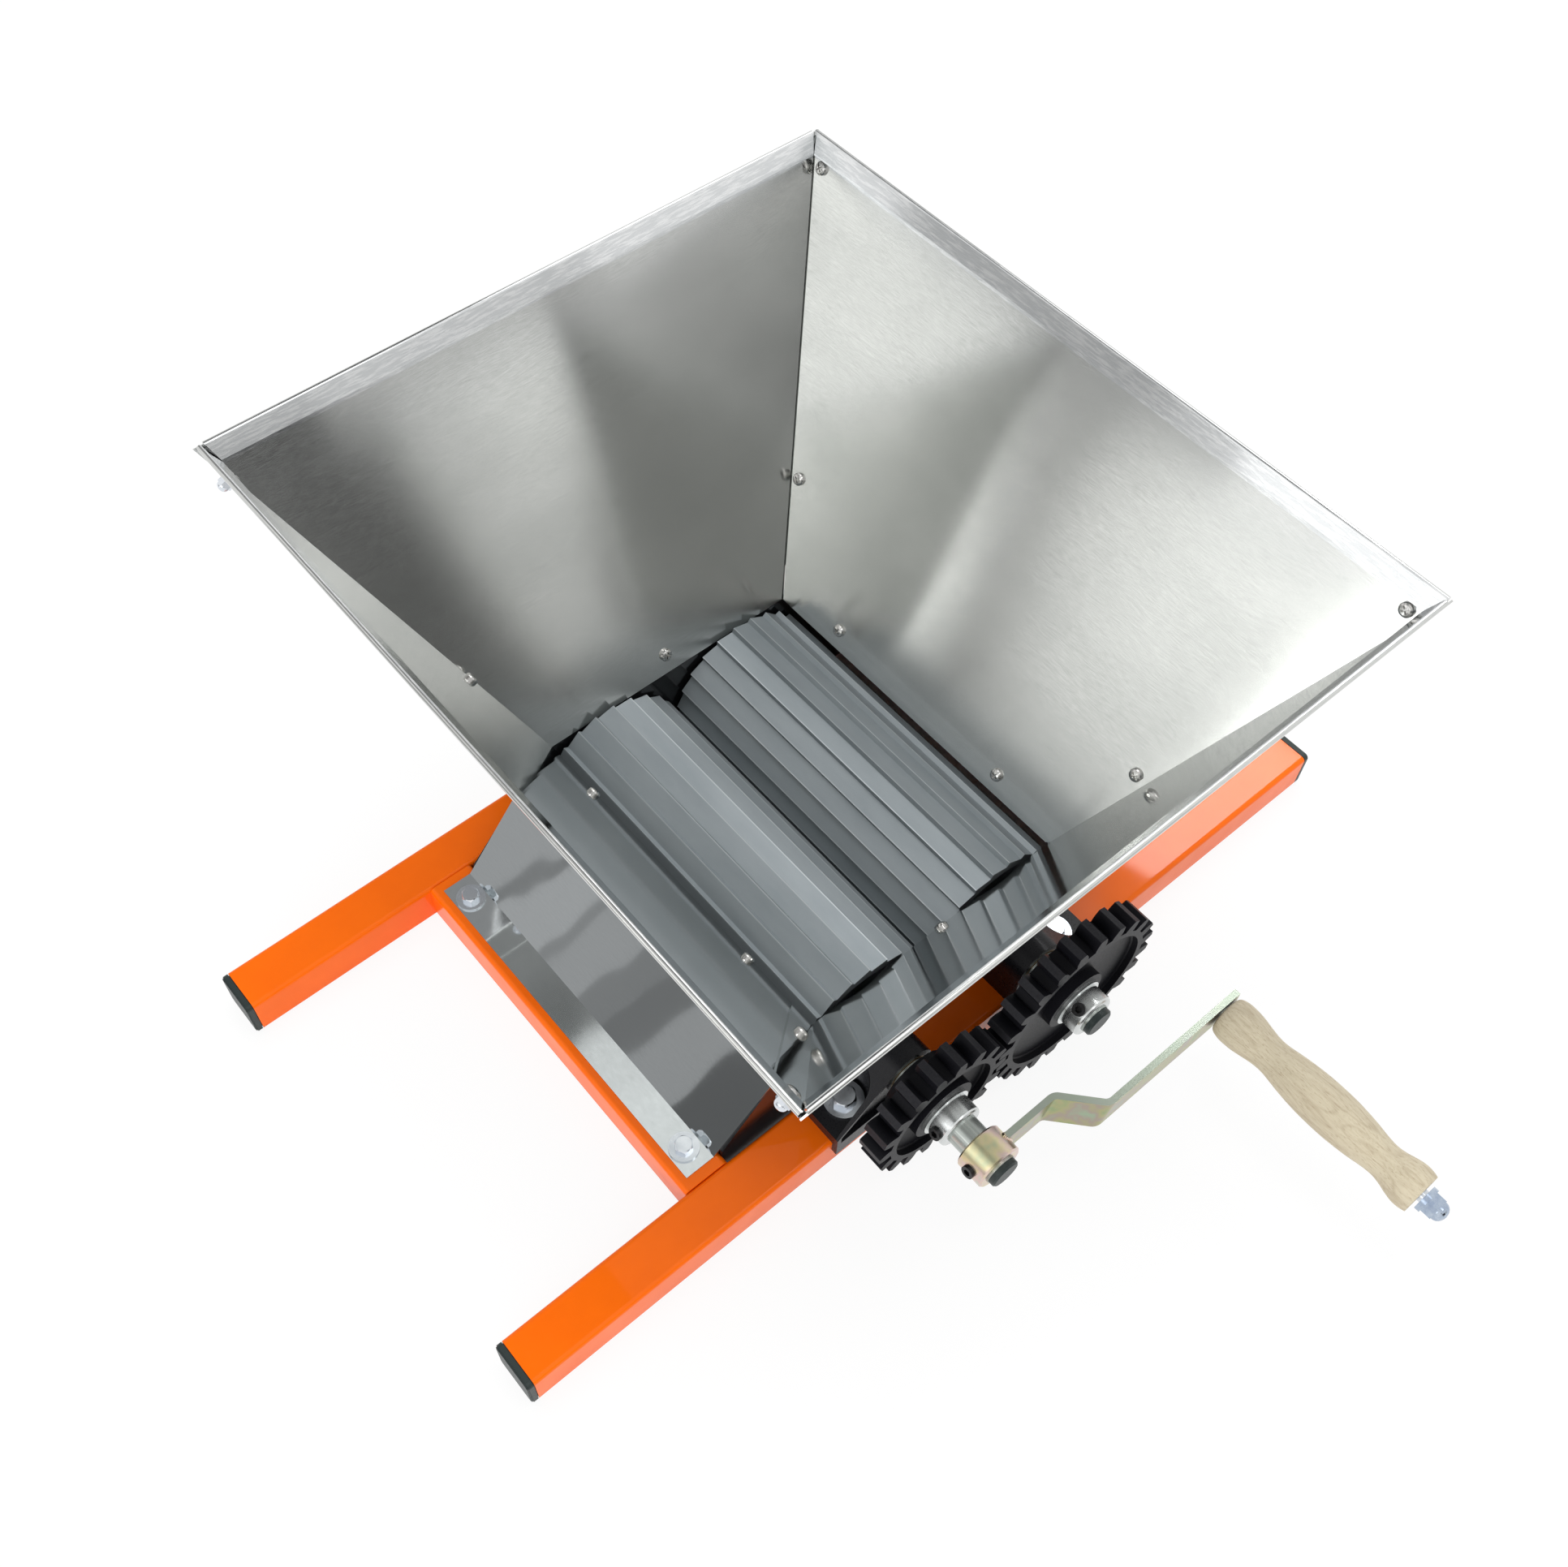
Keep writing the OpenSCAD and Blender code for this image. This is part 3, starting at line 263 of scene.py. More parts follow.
# %% Hang the cards
DOME_RADIUS = 1.75
CARDS = {
    "black_behind": (0.10, [(36, 66, 73), (43, 66, 73), (50, 63, 74), (58, 59.5, 76), (64, 50, 80),
                            (68, 48, 90), (74, 30, 115), (82, 10, 150)]),
    "grey_behind": (0.35, [(36, 73, 113), (50, 74, 114), (58, 76, 116), (66, 85, 117), (72, 112, 117)]),
    "grey_behind_left": (0.45, [(54, 124, 152), (60, 123.5, 152), (68, 123, 152), (76, 122, 155)]),
    "black_front": (0.03, [(0.5, 256, 283), (24, 262, 283)]),
    "grey_front": (0.62, [(2, 283, 300), (26, 283, 300)]),
    "dark_front_left": (0.2, [(22, 238, 252.5), (42, 238, 252.5)]),
    "grey_front_left": (0.55, [(22, 252.5, 261), (34, 252.5, 261)]),
    "grey_right": (0.5, [(28, 22, 50), (42, 28, 48), (48, 37, 42)]),
    "glow_right": (1.95, [(42, 16, 28), (48, 16, 40), (54, 16, 48), (57, 16, 48)]),
    "glow_right_high": (2.6, [(57, 4, 47), (66, -4, 48), (72, -10, 30)]),
    "glow_far_right": (20.0, [(45, 8, 13.5), (54.5, 8, 15.9)]),
    "glow_front_high": (3.2, [(56, 280, 300), (76, 274, 304)]),
    "glow_left": (1.9, [(24, 180, 212), (46, 176, 214)]),
    "glow_left_low": (1.4, [(13.5, 162, 176), (26, 160, 176)]),
    "grey_left": (0.5, [(13.5, 138, 161), (26.4, 138, 161)]),
    "grey_left_foot": (0.4, [(26.5, 138, 150.5), (36, 138, 150.5)]),
    "glow_left_foot": (1.9, [(26.5, 155.5, 180), (36, 155.5, 180)]),
    "dark_left_foot": (0.22, [(26.5, 150.5, 155), (36, 150.5, 155)]),
    "grey_left_low": (0.47, [(0.5, 138, 151.4), (13.5, 138, 151.4)]),
    "streak_left_low": (0.28, [(0.5, 151.4, 152.1), (13.5, 151.4, 152.1)]),
    "pale_left_low": (0.52, [(0.5, 152.1, 155), (13.5, 152.1, 155)]),
    "streak_left_mid": (0.33, [(0.5, 155, 155.6), (13.5, 155, 155.6)]),
    "grey_left_mid": (0.45, [(0.5, 155.6, 157.9), (13.5, 155.6, 157.9)]),
    "dark_left_low": (0.29, [(0.5, 157.9, 160), (13.5, 157.9, 160)]),
    "darker_left_low": (0.23, [(0.5, 160, 162), (13.5, 160, 162)]),
    "bright_left_low": (0.42, [(0.5, 162, 165.2), (13.5, 162, 165.2)]),
    "black_left_low": (0.15, [(0.5, 165.2, 180), (13.5, 165.2, 180)]),
}


def card_material(name, shade):
    """One even brightness. Below 1 the card is darker than the room, and above 1 brighter."""
    material = bpy.data.materials.new(name)
    material.use_nodes = True
    tree = material.node_tree
    tree.nodes.clear()
    glow = add_node(tree, "ShaderNodeEmission", Color=PURE_WHITE, Strength=shade)
    out = add_node(tree, "ShaderNodeOutputMaterial")
    link(tree, glow.outputs[0], out.inputs["Surface"])
    return material


def dome_point(height, turn):
    """The point of the dome at a height and a turn in degrees."""
    rise, round_axis = math.radians(height), math.radians(turn)
    return (DOME_RADIUS * math.cos(rise) * math.cos(round_axis),
            DOME_RADIUS * math.cos(rise) * math.sin(round_axis), DOME_RADIUS * math.sin(rise))


def dome_card(name, shade, rows, step=3.0):
    """Fills the patch between the rows with faces about a step of degrees wide."""
    levels = []
    for (low, left, right), (high, next_left, next_right) in zip(rows, rows[1:]):
        count = max(1, math.ceil((high - low) / step))
        closing = high == rows[-1][0]  # the last stretch also needs its upper edge
        for k in range(count + closing):
            t = k / count
            levels.append((low + (high - low) * t, left + (next_left - left) * t,
                           right + (next_right - right) * t))
    across = max(2, math.ceil(max(right - left for _, left, right in levels) / step))
    corners = [dome_point(height, left + (right - left) * k / across)
               for height, left, right in levels for k in range(across + 1)]
    wide = across + 1
    faces = [(i * wide + k, i * wide + k + 1, (i + 1) * wide + k + 1, (i + 1) * wide + k)
             for i in range(len(levels) - 1) for k in range(across)]
    mesh = bpy.data.meshes.new(name)
    mesh.from_pydata(corners, [], faces)
    card = add_object(name, mesh)
    mesh.materials.append(card_material(name, shade))
    card.visible_camera = False
    card.visible_shadow = False
    card.visible_diffuse = False


for name, (shade, rows) in CARDS.items():
    dome_card(name, shade, rows)
print(len(CARDS), "cards hang over the machine")

# %% [markdown]
# ## Shared effects
#
# Several finishes need the same small effects, so each effect is a node group with named
# inputs, built once. A group puts out only values and masks. The shader itself stays in each
# material.

# %% A helper that makes a node group
def new_group(name, inputs, outputs):
    """Inputs are (name, kind, value) and outputs are (name, kind)."""
    tree = bpy.data.node_groups.new(name, "ShaderNodeTree")
    for label, kind, value in inputs:
        socket = tree.interface.new_socket(label, in_out="INPUT", socket_type=kind)
        socket.default_value = value
    for label, kind in outputs:
        tree.interface.new_socket(label, in_out="OUTPUT", socket_type=kind)
    return tree, add_node(tree, "NodeGroupInput"), add_node(tree, "NodeGroupOutput")


def use_group(tree, group, **values):
    node = add_node(tree, "ShaderNodeGroup", node_tree=group)
    for key, value in values.items():
        node.inputs[key.replace("_", " ")].default_value = value
    return node


print("Group helpers are ready")

# %% Grain: noise that can be drawn out along any direction
def make_grain_group():
    tree, given, result = new_group(
        "stretched_grain",
        [("Density", "NodeSocketVector", (100, 100, 100)), ("Detail", "NodeSocketFloat", 3.0)],
        [("Value", "NodeSocketFloat")])
    stretch = add_node(tree, "ShaderNodeVectorMath", operation="MULTIPLY")
    noise = add_node(tree, "ShaderNodeTexNoise", Scale=1.0, Roughness=0.6)
    link(tree, own_place(tree), stretch.inputs[0])
    link(tree, given.outputs["Density"], stretch.inputs[1])
    link(tree, stretch.outputs[0], noise.inputs["Vector"])
    link(tree, given.outputs["Detail"], noise.inputs["Detail"])
    link(tree, noise.outputs["Fac"], result.inputs["Value"])
    return tree


GRAIN = make_grain_group()
print("Group made:", GRAIN.name)

# %% Remap: turns a stretch of one value into a stretch of another
def remap(tree, value, low, high, new_low, new_high):
    node = add_node(tree, "ShaderNodeMapRange", clamp=True)
    link(tree, value, node.inputs["Value"])
    limits = {"From Min": low, "From Max": high, "To Min": new_low, "To Max": new_high}
    for name, number in limits.items():
        node.inputs[name].default_value = number
    return node.outputs["Result"]


NOISE_LOW = 0.3
NOISE_HIGH = 0.7


def from_noise(tree, noise, low, high):
    """Spreads the middle stretch of a noise over a range of one's own."""
    return remap(tree, noise.outputs[0], NOISE_LOW, NOISE_HIGH, low, high)


def blend_colours(tree, factor, first, second):
    """Mixes two colours. Each is a tuple of three numbers or an output socket."""
    node = add_node(tree, "ShaderNodeMix", data_type="RGBA")
    if hasattr(factor, "links"):
        link(tree, factor, node.inputs["Factor"])
    else:
        node.inputs["Factor"].default_value = factor
    for socket, value in ((node.inputs["A"], first), (node.inputs["B"], second)):
        if hasattr(value, "links"):
            link(tree, value, socket)
        else:
            socket.default_value = (*value, 1)
    return node.outputs["Result"]


print("Remap and blend helpers are ready")

# %% Worn ridge: a mask for what lies furthest from a shaft's axis
def make_ridge_group():
    tree, given, result = new_group(
        "worn_ridge",
        [("Axis X", "NodeSocketFloat", 0.0), ("Axis Z", "NodeSocketFloat", 0.0),
         ("Radius", "NodeSocketFloat", 0.05), ("Width", "NodeSocketFloat", 0.001)],
        [("Mask", "NodeSocketFloat")])
    place = split_up(tree, own_place(tree))
    across = math_node(tree, "SUBTRACT", place["X"], given.outputs["Axis X"])
    height = math_node(tree, "SUBTRACT", place["Z"], given.outputs["Axis Z"])
    squares = math_node(tree, "ADD", math_node(tree, "MULTIPLY", across, across),
                        math_node(tree, "MULTIPLY", height, height))
    short_of = math_node(tree, "SUBTRACT", given.outputs["Radius"], math_node(tree, "SQRT", squares))
    share = math_node(tree, "DIVIDE", short_of, given.outputs["Width"], clamp=True)
    link(tree, math_node(tree, "SUBTRACT", 1.0, share), result.inputs["Mask"])
    return tree


RIDGE = make_ridge_group()
print("Group made:", RIDGE.name)

# %% A helper that starts a material
def new_material(name, colour, metallic, roughness, **sockets):
    material = bpy.data.materials.new(name)
    material.use_nodes = True
    tree = material.node_tree
    shader = tree.nodes["Principled BSDF"]
    shader.inputs["Base Color"].default_value = (*colour, 1)
    shader.inputs["Metallic"].default_value = metallic
    shader.inputs["Roughness"].default_value = roughness
    for key, value in sockets.items():
        shader.inputs[key.replace("_", " ")].default_value = value
    return material, tree, shader


def uneven_roughness(tree, shader, noise, low, high):
    """Lets a noise vary the roughness between two values."""
    link(tree, from_noise(tree, noise, low, high), shader.inputs["Roughness"])


def bump(tree, shader, height, distance, strength=1.0):
    node = add_node(tree, "ShaderNodeBump", Strength=strength, Distance=distance)
    link(tree, height, node.inputs["Height"])
    link(tree, node.outputs["Normal"], shader.inputs["Normal"])


print("Material helpers are ready")

# %% [markdown]
# ## Orange powder coat
#
# Powder coat is baked plastic: one strong colour, a clear gloss on top, and a faint ripple
# like an orange's peel. The ripple is a bump a few millimetres across and almost flat.

# %% Powder coat
ORANGE = (0.91, 0.145, 0.001)
ORANGE_SHADE = (0.86, 0.132, 0.001)


def make_powder_coat():
    material, tree, shader = new_material(
        "orange_powder_coat", ORANGE, metallic=0.0, roughness=0.34,
        Coat_Weight=0.3, Coat_Roughness=0.05, Specular_IOR_Level=0.05)
    peel = use_group(tree, GRAIN, Density=(420, 420, 420), Detail=1.0)
    patch = use_group(tree, GRAIN, Density=(26, 26, 26), Detail=3.0)
    link(tree, remap(tree, patch.outputs[0], 0.35, 0.65, 0.30, 0.38), shader.inputs["Roughness"])
    tone = from_noise(tree, patch, 0, 1)
    link(tree, blend_colours(tree, tone, ORANGE, ORANGE_SHADE), shader.inputs["Base Color"])
    bump(tree, shader, peel.outputs[0], distance=0.00005, strength=0.5)
    return material


powder_coat = make_powder_coat()
print("Material made:", powder_coat.name)

# %% [markdown]
# ## Brushed stainless sheet
#
# The sheet is brushed along its length, parallel to the rim. The tiny scratches spread each
# reflection across themselves, so bright cards turn into streaks that run down the slope. The
# shader does that with anisotropy along a tangent, and here the tangent is the steepest way
# down, worked out from the surface's own normal. Fine lines of roughness and bump make the
# grain itself visible close up. Seen at a glancing angle, scratches hide one another and the
# sheet turns into a mirror, so the roughness falls there. No sheet is quite flat either, and
# slow waves in the bump make the reflections swim, most of all in the bright deflectors. The
# folded hem carries painted bright and dark streaks in its colour, a painted reflection that
# stands in for the streaky light along the fold.

# %% Stainless sheet
STEEL = (0.71, 0.715, 0.70)
STEEL_SHADE = (0.56, 0.57, 0.555)
PLATE = (0.62, 0.65, 0.66)
PLATE_SHADE = (0.57, 0.6, 0.61)
GLANCING_SHARE = 0.3
# Painted reflection on the hem: a darker and a brighter streak tone.
HEM_PAINTED_DARK_STREAK = (0.66, 0.675, 0.68)
HEM_PAINTED_GLINT = (0.8, 0.81, 0.81)
HEM_WIDTH = 0.014
HEM_EDGE = 0.0005
RIM_HEIGHT = max(v.co.z for v in frame["nodes"]["hopper_rear_panel"].data.vertices)
UPRIGHT = (0.02, 0, 1)  # leaned a little, so that it works on a level face too
FLATTEN = (1, 1, 0)  # keeps X and Y and drops Z


def steepest_way(tree):
    """The direction in the surface that runs straight up or down its slope."""
    geometry = add_node(tree, "ShaderNodeNewGeometry")
    level = add_node(tree, "ShaderNodeVectorMath", operation="CROSS_PRODUCT")
    slope = add_node(tree, "ShaderNodeVectorMath", operation="CROSS_PRODUCT")
    link(tree, geometry.outputs["Normal"], level.inputs[0])
    level.inputs[1].default_value = UPRIGHT
    link(tree, level.outputs[0], slope.inputs[0])
    link(tree, geometry.outputs["Normal"], slope.inputs[1])
    return slope.outputs[0]


def hem_mask(tree, start):
    """1 on the hopper's inner side above a height, where the sheet is folded over."""
    place = own_place(tree)
    facing = add_node(tree, "ShaderNodeVectorMath", operation="DOT_PRODUCT")
    level = add_node(tree, "ShaderNodeVectorMath", operation="MULTIPLY")
    geometry = add_node(tree, "ShaderNodeNewGeometry")
    link(tree, place, level.inputs[0])
    level.inputs[1].default_value = FLATTEN
    link(tree, geometry.outputs["Normal"], facing.inputs[0])
    link(tree, level.outputs[0], facing.inputs[1])
    inside = math_node(tree, "LESS_THAN", facing.outputs["Value"], 0.0)
    above = remap(tree, split_up(tree, place)["Z"], start, start + HEM_EDGE, 0, 1)
    return math_node(tree, "MULTIPLY", inside, above)


def make_sheet(name, colour, shade, roughness, spread, line_depth, wave_depth, hem_start=None):
    """Depths are in metres. A sheet without a hem start has no painted hem streaks."""
    material, tree, shader = new_material(name, colour, metallic=1.0, roughness=roughness[0],
                                          Anisotropic=spread)
    lines = use_group(tree, GRAIN, Density=(150, 150, 2400), Detail=3.0)
    cloud = use_group(tree, GRAIN, Density=(7, 7, 16), Detail=3.0)
    tone = math_node(tree, "ADD", from_noise(tree, cloud, 0, 0.5),
                     from_noise(tree, lines, 0, 0.5))
    skin = blend_colours(tree, tone, colour, shade)
    if hem_start is not None:
        # The hem's bright and dark streaks are painted reflection, standing in for the streaky light
        # along the fold.
        hem_glint_noise = use_group(tree, GRAIN, Density=(85, 85, 900), Detail=4.0)
        streaks = remap(tree, hem_glint_noise.outputs[0], 0.46, 0.6, 0, 1)
        painted_hem_glints = blend_colours(tree, streaks, HEM_PAINTED_DARK_STREAK, HEM_PAINTED_GLINT)
        skin = blend_colours(tree, hem_mask(tree, hem_start), skin, painted_hem_glints)
    link(tree, skin, shader.inputs["Base Color"])
    glance = add_node(tree, "ShaderNodeLayerWeight", Blend=0.5)
    sharper = remap(tree, glance.outputs["Facing"], 0.6, 0.92, 1.0, GLANCING_SHARE)
    rough = from_noise(tree, lines, *roughness)
    link(tree, math_node(tree, "MULTIPLY", rough, sharper), shader.inputs["Roughness"])
    link(tree, steepest_way(tree), shader.inputs["Tangent"])
    waves = use_group(tree, GRAIN, Density=(16, 16, 16), Detail=1.0)
    height = math_node(tree, "ADD", math_node(tree, "MULTIPLY", lines.outputs[0], line_depth * MM_PER_M),
                       math_node(tree, "MULTIPLY", waves.outputs[0], wave_depth * MM_PER_M))
    bump(tree, shader, height, 1 / MM_PER_M)
    return material


hopper_sheet = make_sheet("brushed_stainless", STEEL, STEEL_SHADE, roughness=(0.12, 0.18), spread=0.9,
                          line_depth=0.000002, wave_depth=0.00003, hem_start=RIM_HEIGHT - HEM_WIDTH)
plate_sheet = make_sheet("bright_stainless", PLATE, PLATE_SHADE, roughness=(0.03, 0.06), spread=0.3,
                         line_depth=0.0000006, wave_depth=0.0004)
print("Materials made:", hopper_sheet.name, "and", plate_sheet.name)

# %% [markdown]
# ## Black plastic
#
# The bearing blocks, the end walls and the caps are moulded. Their black isn't quite black,
# and a fine spark texture from the mould breaks up the highlights. The end walls are the
# glossiest of the three.

# %% Black plastic
PLASTIC_SMOOTHER = 0.06
PLASTIC_ROUGHER = 0.08


def make_black_plastic(name, colour, roughness, grain, depth, gloss):
    material, tree, shader = new_material(name, colour, metallic=0.0, roughness=roughness,
                                          Specular_IOR_Level=gloss)
    spark = use_group(tree, GRAIN, Density=(grain, grain, grain), Detail=2.0)
    uneven_roughness(tree, shader, spark, roughness - PLASTIC_SMOOTHER, roughness + PLASTIC_ROUGHER)
    bump(tree, shader, spark.outputs[0], depth, strength=0.5)
    return material


block_plastic = make_black_plastic("block_plastic", (0.008, 0.008, 0.010), roughness=0.3,
                                   grain=900, depth=0.00006, gloss=0.22)
wall_plastic = make_black_plastic("wall_plastic", (0.008, 0.008, 0.009), roughness=0.16,
                                  grain=700, depth=0.00001, gloss=0.6)
cap_plastic = make_black_plastic("cap_plastic", (0.02, 0.029, 0.028), roughness=0.42,
                                 grain=1200, depth=0.00004, gloss=0.35)
print("Three black plastics are made")

# %% [markdown]
# ## Rollers
#
# The rollers are grey metal with a dull, even skin. Where the teeth meet the fruit their
# crests have lost it, so a thin pale line runs along each crest. The mask for that line is
# simply how far a point lies from the shaft's axis.

# %% Roller metal
SHAFT_HEIGHT = frame["joints"][0]["pos_m"][2]
DRIVE_X = frame["joints"][0]["pos_m"][0]
DRIVEN_X = frame["joints"][1]["pos_m"][0]
ROLLER_SKIN = (0.24, 0.27, 0.285)
ROLLER_CLOUD = (0.29, 0.32, 0.335)
ROLLER_CREST = (0.48, 0.51, 0.53)
ROLLER_ROUGHNESS = 0.45
CREST_ROUGHNESS = 0.3
CREST_WIDTH = 0.0003


def outer_radius(node, axis_x):
    corners = frame["nodes"][node].data.vertices
    return max(math.hypot(v.co.x - axis_x, v.co.z - SHAFT_HEIGHT) for v in corners)


def ridge_mask(tree, node, axis_x, width):
    """1 on a turning node's furthest skin, fading to 0 over a width."""
    ridge = use_group(tree, RIDGE, Axis_X=axis_x, Axis_Z=SHAFT_HEIGHT,
                      Radius=outer_radius(node, axis_x), Width=width)
    return ridge.outputs[0]


def make_roller_metal(name, node, axis_x):
    material, tree, shader = new_material(name, ROLLER_SKIN, metallic=0.5, roughness=ROLLER_ROUGHNESS)
    crest = ridge_mask(tree, node, axis_x, CREST_WIDTH)
    cloud = use_group(tree, GRAIN, Density=(40, 12, 40), Detail=4.0)
    sand = use_group(tree, GRAIN, Density=(1500, 1500, 1500), Detail=1.0)
    tone = from_noise(tree, cloud, 0, 1)
    cloudy = blend_colours(tree, tone, ROLLER_SKIN, ROLLER_CLOUD)
    link(tree, blend_colours(tree, crest, cloudy, ROLLER_CREST), shader.inputs["Base Color"])
    rough = remap(tree, crest, 0, 1, ROLLER_ROUGHNESS, CREST_ROUGHNESS)
    link(tree, rough, shader.inputs["Roughness"])
    bump(tree, shader, sand.outputs[0], distance=0.00006, strength=0.5)
    return material


drive_roller_metal = make_roller_metal("drive_roller_metal", "drive_roller", DRIVE_X)
driven_roller_metal = make_roller_metal("driven_roller_metal", "driven_roller", DRIVEN_X)
print("The rollers are", round(2 * outer_radius("drive_roller", DRIVE_X) * MM_PER_M, 1), "mm across")

# %% [markdown]
# ## Gears
#
# The gears are black and dull, and the tips of their teeth have rubbed a little lighter.

# %% Gear black
GEAR_BLACK = (0.007, 0.007, 0.009)
GEAR_WORN = (0.05, 0.05, 0.055)
TIP_WIDTH = 0.0006


def make_gear_black(name, node, axis_x):
    material, tree, shader = new_material(name, GEAR_BLACK, metallic=0.0, roughness=0.4,
                                          Specular_IOR_Level=0.08)
    tip = ridge_mask(tree, node, axis_x, TIP_WIDTH)
    sand = use_group(tree, GRAIN, Density=(700, 700, 700), Detail=2.0)
    worn = math_node(tree, "MULTIPLY", tip, from_noise(tree, sand, 0.3, 0.5))
    link(tree, blend_colours(tree, worn, GEAR_BLACK, GEAR_WORN), shader.inputs["Base Color"])
    uneven_roughness(tree, shader, sand, 0.36, 0.42)
    bump(tree, shader, sand.outputs[0], distance=0.00005, strength=0.5)
    return material


drive_gear_black = make_gear_black("drive_gear_black", "drive_gear", DRIVE_X)
driven_gear_black = make_gear_black("driven_gear_black", "driven_gear", DRIVEN_X)
print("Gear materials are made")

# %% [markdown]
# ## Plated and turned steel
#
# Zinc is put on steel as a thin bright coat. Clear zinc is bluish, and the yellow kind shines
# in patches of green and pink, because its film is as thin as a soap bubble. Turned collars
# carry rings from the lathe, so their grain is drawn out round the axis. Each finish below is
# two tones, a roughness, and how dense the clouds of tone are along X, Y and Z.

# %% Zinc, stainless screws and black screws
PLATED_SMOOTHER = 0.05
PLATED_ROUGHER = 0.08


def make_plated(name, colour, second, roughness, density, metallic=1.0):
    material, tree, shader = new_material(name, colour, metallic, roughness)
    cloud = use_group(tree, GRAIN, Density=density, Detail=3.0)
    tone = remap(tree, cloud.outputs[0], 0.35, 0.65, 0, 1)
    link(tree, blend_colours(tree, tone, colour, second), shader.inputs["Base Color"])
    uneven_roughness(tree, shader, cloud, roughness - PLATED_SMOOTHER, roughness + PLATED_ROUGHER)
    return material


zinc = make_plated("blue_zinc", (0.76, 0.79, 0.83), (0.66, 0.7, 0.75),
                   roughness=0.18, density=(60, 60, 60))
nut_zinc = make_plated("nut_zinc", (0.5, 0.57, 0.66), (0.33, 0.4, 0.52),
                       roughness=0.16, density=(160, 160, 160))
screw_steel = make_plated("screw_stainless", (0.58, 0.57, 0.55), (0.42, 0.42, 0.41),
                          roughness=0.12, density=(300, 300, 300))
shaft_zinc = make_plated("grey_zinc", (0.5, 0.53, 0.5), (0.38, 0.41, 0.39),
                         roughness=0.3, density=(900, 30, 900))
collar_steel = make_plated("turned_steel", (0.7, 0.72, 0.72), (0.62, 0.64, 0.63),
                           roughness=0.24, density=(25, 260, 25))
bush_bronze = make_plated("bush_bronze", (0.6, 0.4, 0.18), (0.5, 0.33, 0.15),
                          roughness=0.35, density=(120, 900, 120))
black_oxide = make_plated("black_oxide", (0.012, 0.012, 0.012), (0.02, 0.02, 0.022),
                          roughness=0.33, density=(500, 500, 500), metallic=0.4)
print("Plated finishes are made")

# %% [markdown]
# The yellow film's four tones run from green through gold and pink to a paler green. Where the
# arm's surface faces up, it is painted a pale, nearly colourless tone, a painted sheen for the
# light that its top catches. The hub gets no painted sheen.

# %% Yellow zinc
# A painted sheen: the pale tone that faces pointing up are given for the light they catch.
PAINTED_TOP_SHEEN = (0.43, 0.49, 0.43)
TONE_PLACES = (0.3, 0.45, 0.58, 0.72)
FACING_UP = (0.8, 0.95)  # how far the normal points up where the painted sheen starts and is full


def make_yellow_zinc(name, top_sheen_share, tones):
    material, tree, shader = new_material(name, tones[1], metallic=1.0, roughness=0.28)
    cloud = use_group(tree, GRAIN, Density=(75, 75, 75), Detail=2.0)
    film = add_node(tree, "ShaderNodeValToRGB")
    link(tree, cloud.outputs[0], film.inputs[0])
    ramp = film.color_ramp
    low, high = ramp.elements
    low.position, high.position = TONE_PLACES[0], TONE_PLACES[3]
    low.color, high.color = (*tones[0], 1), (*tones[3], 1)
    for position, colour in zip(TONE_PLACES[1:3], tones[1:3]):
        ramp.elements.new(position).color = (*colour, 1)
    geometry = add_node(tree, "ShaderNodeNewGeometry")
    facing = split_up(tree, geometry.outputs["Normal"])
    # Faces that point up are blended towards the pale tone, a painted sheen for the light on the arm's
    # top.
    painted_top_sheen = remap(tree, facing["Z"], *FACING_UP, 0, top_sheen_share)
    link(tree, blend_colours(tree, painted_top_sheen, film.outputs["Color"], PAINTED_TOP_SHEEN), shader.inputs["Base Color"])
    lines = use_group(tree, GRAIN, Density=(60, 60, 900), Detail=2.0)
    uneven_roughness(tree, shader, lines, 0.29, 0.31)
    return material


ARM_TONES = ((0.31, 0.38, 0.21), (0.41, 0.40, 0.22), (0.39, 0.33, 0.28), (0.35, 0.43, 0.31))
HUB_TONES = ((0.52, 0.56, 0.37), (0.71, 0.63, 0.38), (0.73, 0.56, 0.52), (0.58, 0.63, 0.51))
arm_zinc = make_yellow_zinc("yellow_zinc_arm", top_sheen_share=0.85, tones=ARM_TONES)
hub_zinc = make_yellow_zinc("yellow_zinc_hub", top_sheen_share=0.0, tones=HUB_TONES)
print("Materials made:", arm_zinc.name, "and", hub_zinc.name)

# %% [markdown]
# ## Turned beech
#
# The grip is raw beech, turned on a lathe. Beech is known by its short dark flecks along the
# grain, and by soft growth lines that a turned shape cuts into long ovals.

# %% Beech
BEECH_PALE = (0.54, 0.478, 0.348)
BEECH_DARK = (0.395, 0.328, 0.226)
BEECH_FLECK = (0.31, 0.235, 0.155)
GROWTH_LINES = 9.0
HALF_LINE = 0.5


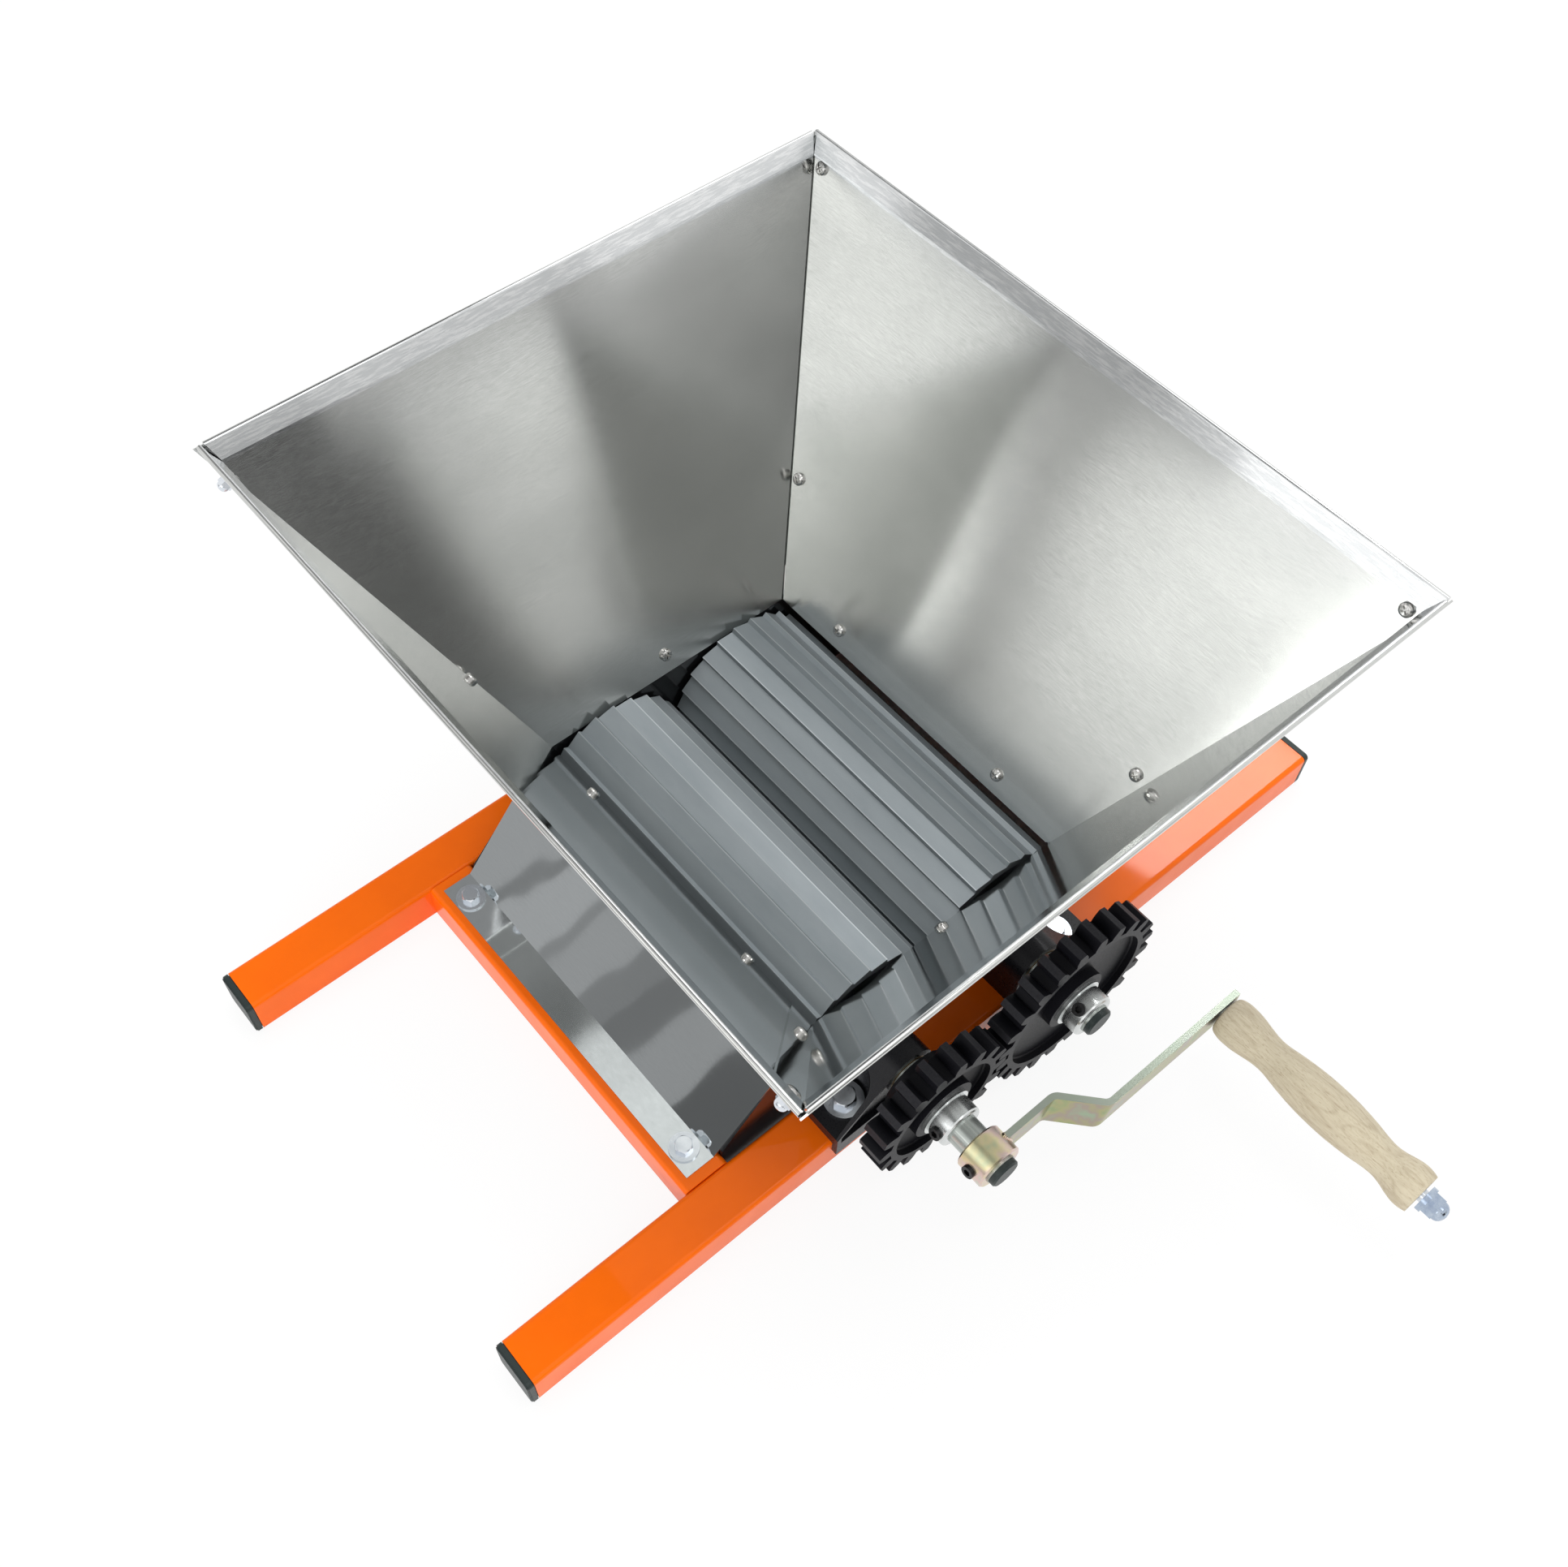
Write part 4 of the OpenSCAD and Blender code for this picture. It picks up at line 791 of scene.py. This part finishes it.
def make_beech():
    material, tree, shader = new_material("turned_beech", BEECH_PALE, metallic=0.0, roughness=0.6)
    rings = use_group(tree, GRAIN, Density=(60, 11, 60), Detail=1.0)
    flecks = use_group(tree, GRAIN, Density=(1600, 210, 1600), Detail=2.0)
    fibres = use_group(tree, GRAIN, Density=(700, 45, 700), Detail=3.0)
    rising = math_node(tree, "MULTIPLY", rings.outputs[0], GROWTH_LINES)
    growth = math_node(tree, "PINGPONG", rising, HALF_LINE)
    veins = math_node(tree, "ADD", remap(tree, growth, 0.3, 0.5, 0.0, 0.45),
                      remap(tree, fibres.outputs[0], 0.4, 0.65, 0.0, 0.4))
    body = blend_colours(tree, veins, BEECH_PALE, BEECH_DARK)
    fleck_mask = remap(tree, flecks.outputs[0], 0.55, 0.7, 0.0, 0.6)
    link(tree, blend_colours(tree, fleck_mask, body, BEECH_FLECK), shader.inputs["Base Color"])
    uneven_roughness(tree, shader, flecks, 0.52, 0.68)
    bump(tree, shader, flecks.outputs[0], distance=0.0001, strength=0.5)
    return material


beech = make_beech()
print("Material made:", beech.name)

# %% [markdown]
# ## Weld bead
#
# The arm is welded to the hub, so a bead runs round the arm where the two meet. It is a thin
# tube bent round the arm's outline on the hub's skin, and its radius rises and falls where the
# welder paused.

# %% Weld bead
BEAD_RADIUS = 0.0011
RIPPLE = 0.00018
RIPPLES = 16
UNEVEN = 0.0001
UNEVEN_TURN = 0.9  # radians from one ring to the next
PATH_POINTS = 96
RING_POINTS = 10
SQUARENESS = 4
STEEPEST_SHARE = 0.9  # of the hub's radius that the arm may cover


def bead_path():
    """Points on the hub's skin round the arm's foot, along a rectangle with rounded corners."""
    hub_low, hub_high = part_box("crank_hub")
    arm_low, arm_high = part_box("crank_arm")
    radius = (hub_high[0] - hub_low[0]) / 2
    foot = [v.co for v in frame["nodes"]["crank_arm"].data.vertices if v.co.x < hub_high[0]]
    back, front = max(p.y for p in foot), min(p.y for p in foot)
    middle, wide = (back + front) / 2, (back - front) / 2
    reach = math.asin(min(STEEPEST_SHARE, (arm_high[2] - arm_low[2]) / 2 / radius))
    path = []
    for k in range(PATH_POINTS):
        up, over = math.sin(math.tau * k / PATH_POINTS), math.cos(math.tau * k / PATH_POINTS)
        share = 1 / (abs(up) ** SQUARENESS + abs(over) ** SQUARENESS) ** (1 / SQUARENESS)
        angle = up * share * reach
        path.append(Vector((DRIVE_X + radius * math.cos(angle), middle + over * share * wide,
                            SHAFT_HEIGHT + radius * math.sin(angle))))
    return path


def weld_bead(name):
    """A closed tube along the path, thicker and thinner from ring to ring."""
    path = bead_path()
    corners, faces = [], []
    for k, point in enumerate(path):
        along = (path[(k + 1) % PATH_POINTS] - path[k - 1]).normalized()
        out = Vector((point.x - DRIVE_X, 0, point.z - SHAFT_HEIGHT)).normalized()
        side = along.cross(out).normalized()
        thick = (BEAD_RADIUS + RIPPLE * math.sin(k * math.tau * RIPPLES / PATH_POINTS)
                 + UNEVEN * math.sin(k * UNEVEN_TURN))
        this_ring, next_ring = k * RING_POINTS, ((k + 1) % PATH_POINTS) * RING_POINTS
        for j in range(RING_POINTS):
            spin, step = math.tau * j / RING_POINTS, (j + 1) % RING_POINTS
            corners.append(point + (out * math.cos(spin) + side * math.sin(spin)) * thick)
            faces.append((this_ring + j, this_ring + step, next_ring + step, next_ring + j))
    mesh = bpy.data.meshes.new(name)
    mesh.from_pydata(corners, [], faces)
    mesh.polygons.foreach_set("use_smooth", [True] * len(faces))
    bead = add_object(name, mesh)
    mesh.materials.append(hub_zinc)
    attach(bead, "drive_roller_body")
    return bead


bead = weld_bead("crank_weld_bead")
print("The weld bead has", len(bead.data.polygons), "faces")

# %% [markdown]
# ## Who wears what
#
# Each finish now goes to its nodes. The shapes stay as they came, and only the material slot
# of each node changes.

# %% Give every node its finish
FINISHES = {
    powder_coat: ["front_rail", "rear_rail", "left_cross_tube", "right_cross_tube"],
    hopper_sheet: ["hopper_front_panel", "hopper_rear_panel", "hopper_left_panel", "hopper_right_panel"],
    plate_sheet: ["left_deflector", "right_deflector"],
    wall_plastic: ["front_end_wall", "rear_end_wall"],
    block_plastic: ["front_left_block", "front_right_block", "rear_left_block", "rear_right_block"],
    cap_plastic: ["rail_end_caps", "drive_shaft_caps", "driven_shaft_caps"],
    bush_bronze: ["shaft_bushes"],
    zinc: ["deflector_bolts", "deflector_washers", "deflector_nuts", "block_bolts", "block_washers",
           "block_nuts", "corner_nuts", "mouth_nuts", "handle_pin"],
    nut_zinc: ["handle_washers", "handle_lock_nut"],
    screw_steel: ["corner_screws", "mouth_screws"],
    shaft_zinc: ["drive_shaft", "driven_shaft", "drive_spacer", "driven_spacer"],
    drive_roller_metal: ["drive_roller"],
    driven_roller_metal: ["driven_roller"],
    drive_gear_black: ["drive_gear"],
    driven_gear_black: ["driven_gear"],
    collar_steel: ["drive_collar", "driven_collar"],
    black_oxide: ["drive_set_screw", "driven_set_screw", "crank_set_screw"],
    hub_zinc: ["crank_hub"],
    arm_zinc: ["crank_arm"],
    beech: ["handle_grip"],
}
for material, nodes in FINISHES.items():
    for name in nodes:
        slots = frame["nodes"][name].data.materials
        slots.clear()
        slots.append(material)

dressed = sum(len(nodes) for nodes in FINISHES.values())
print(dressed, "of", len(frame["nodes"]), "nodes have their finish")
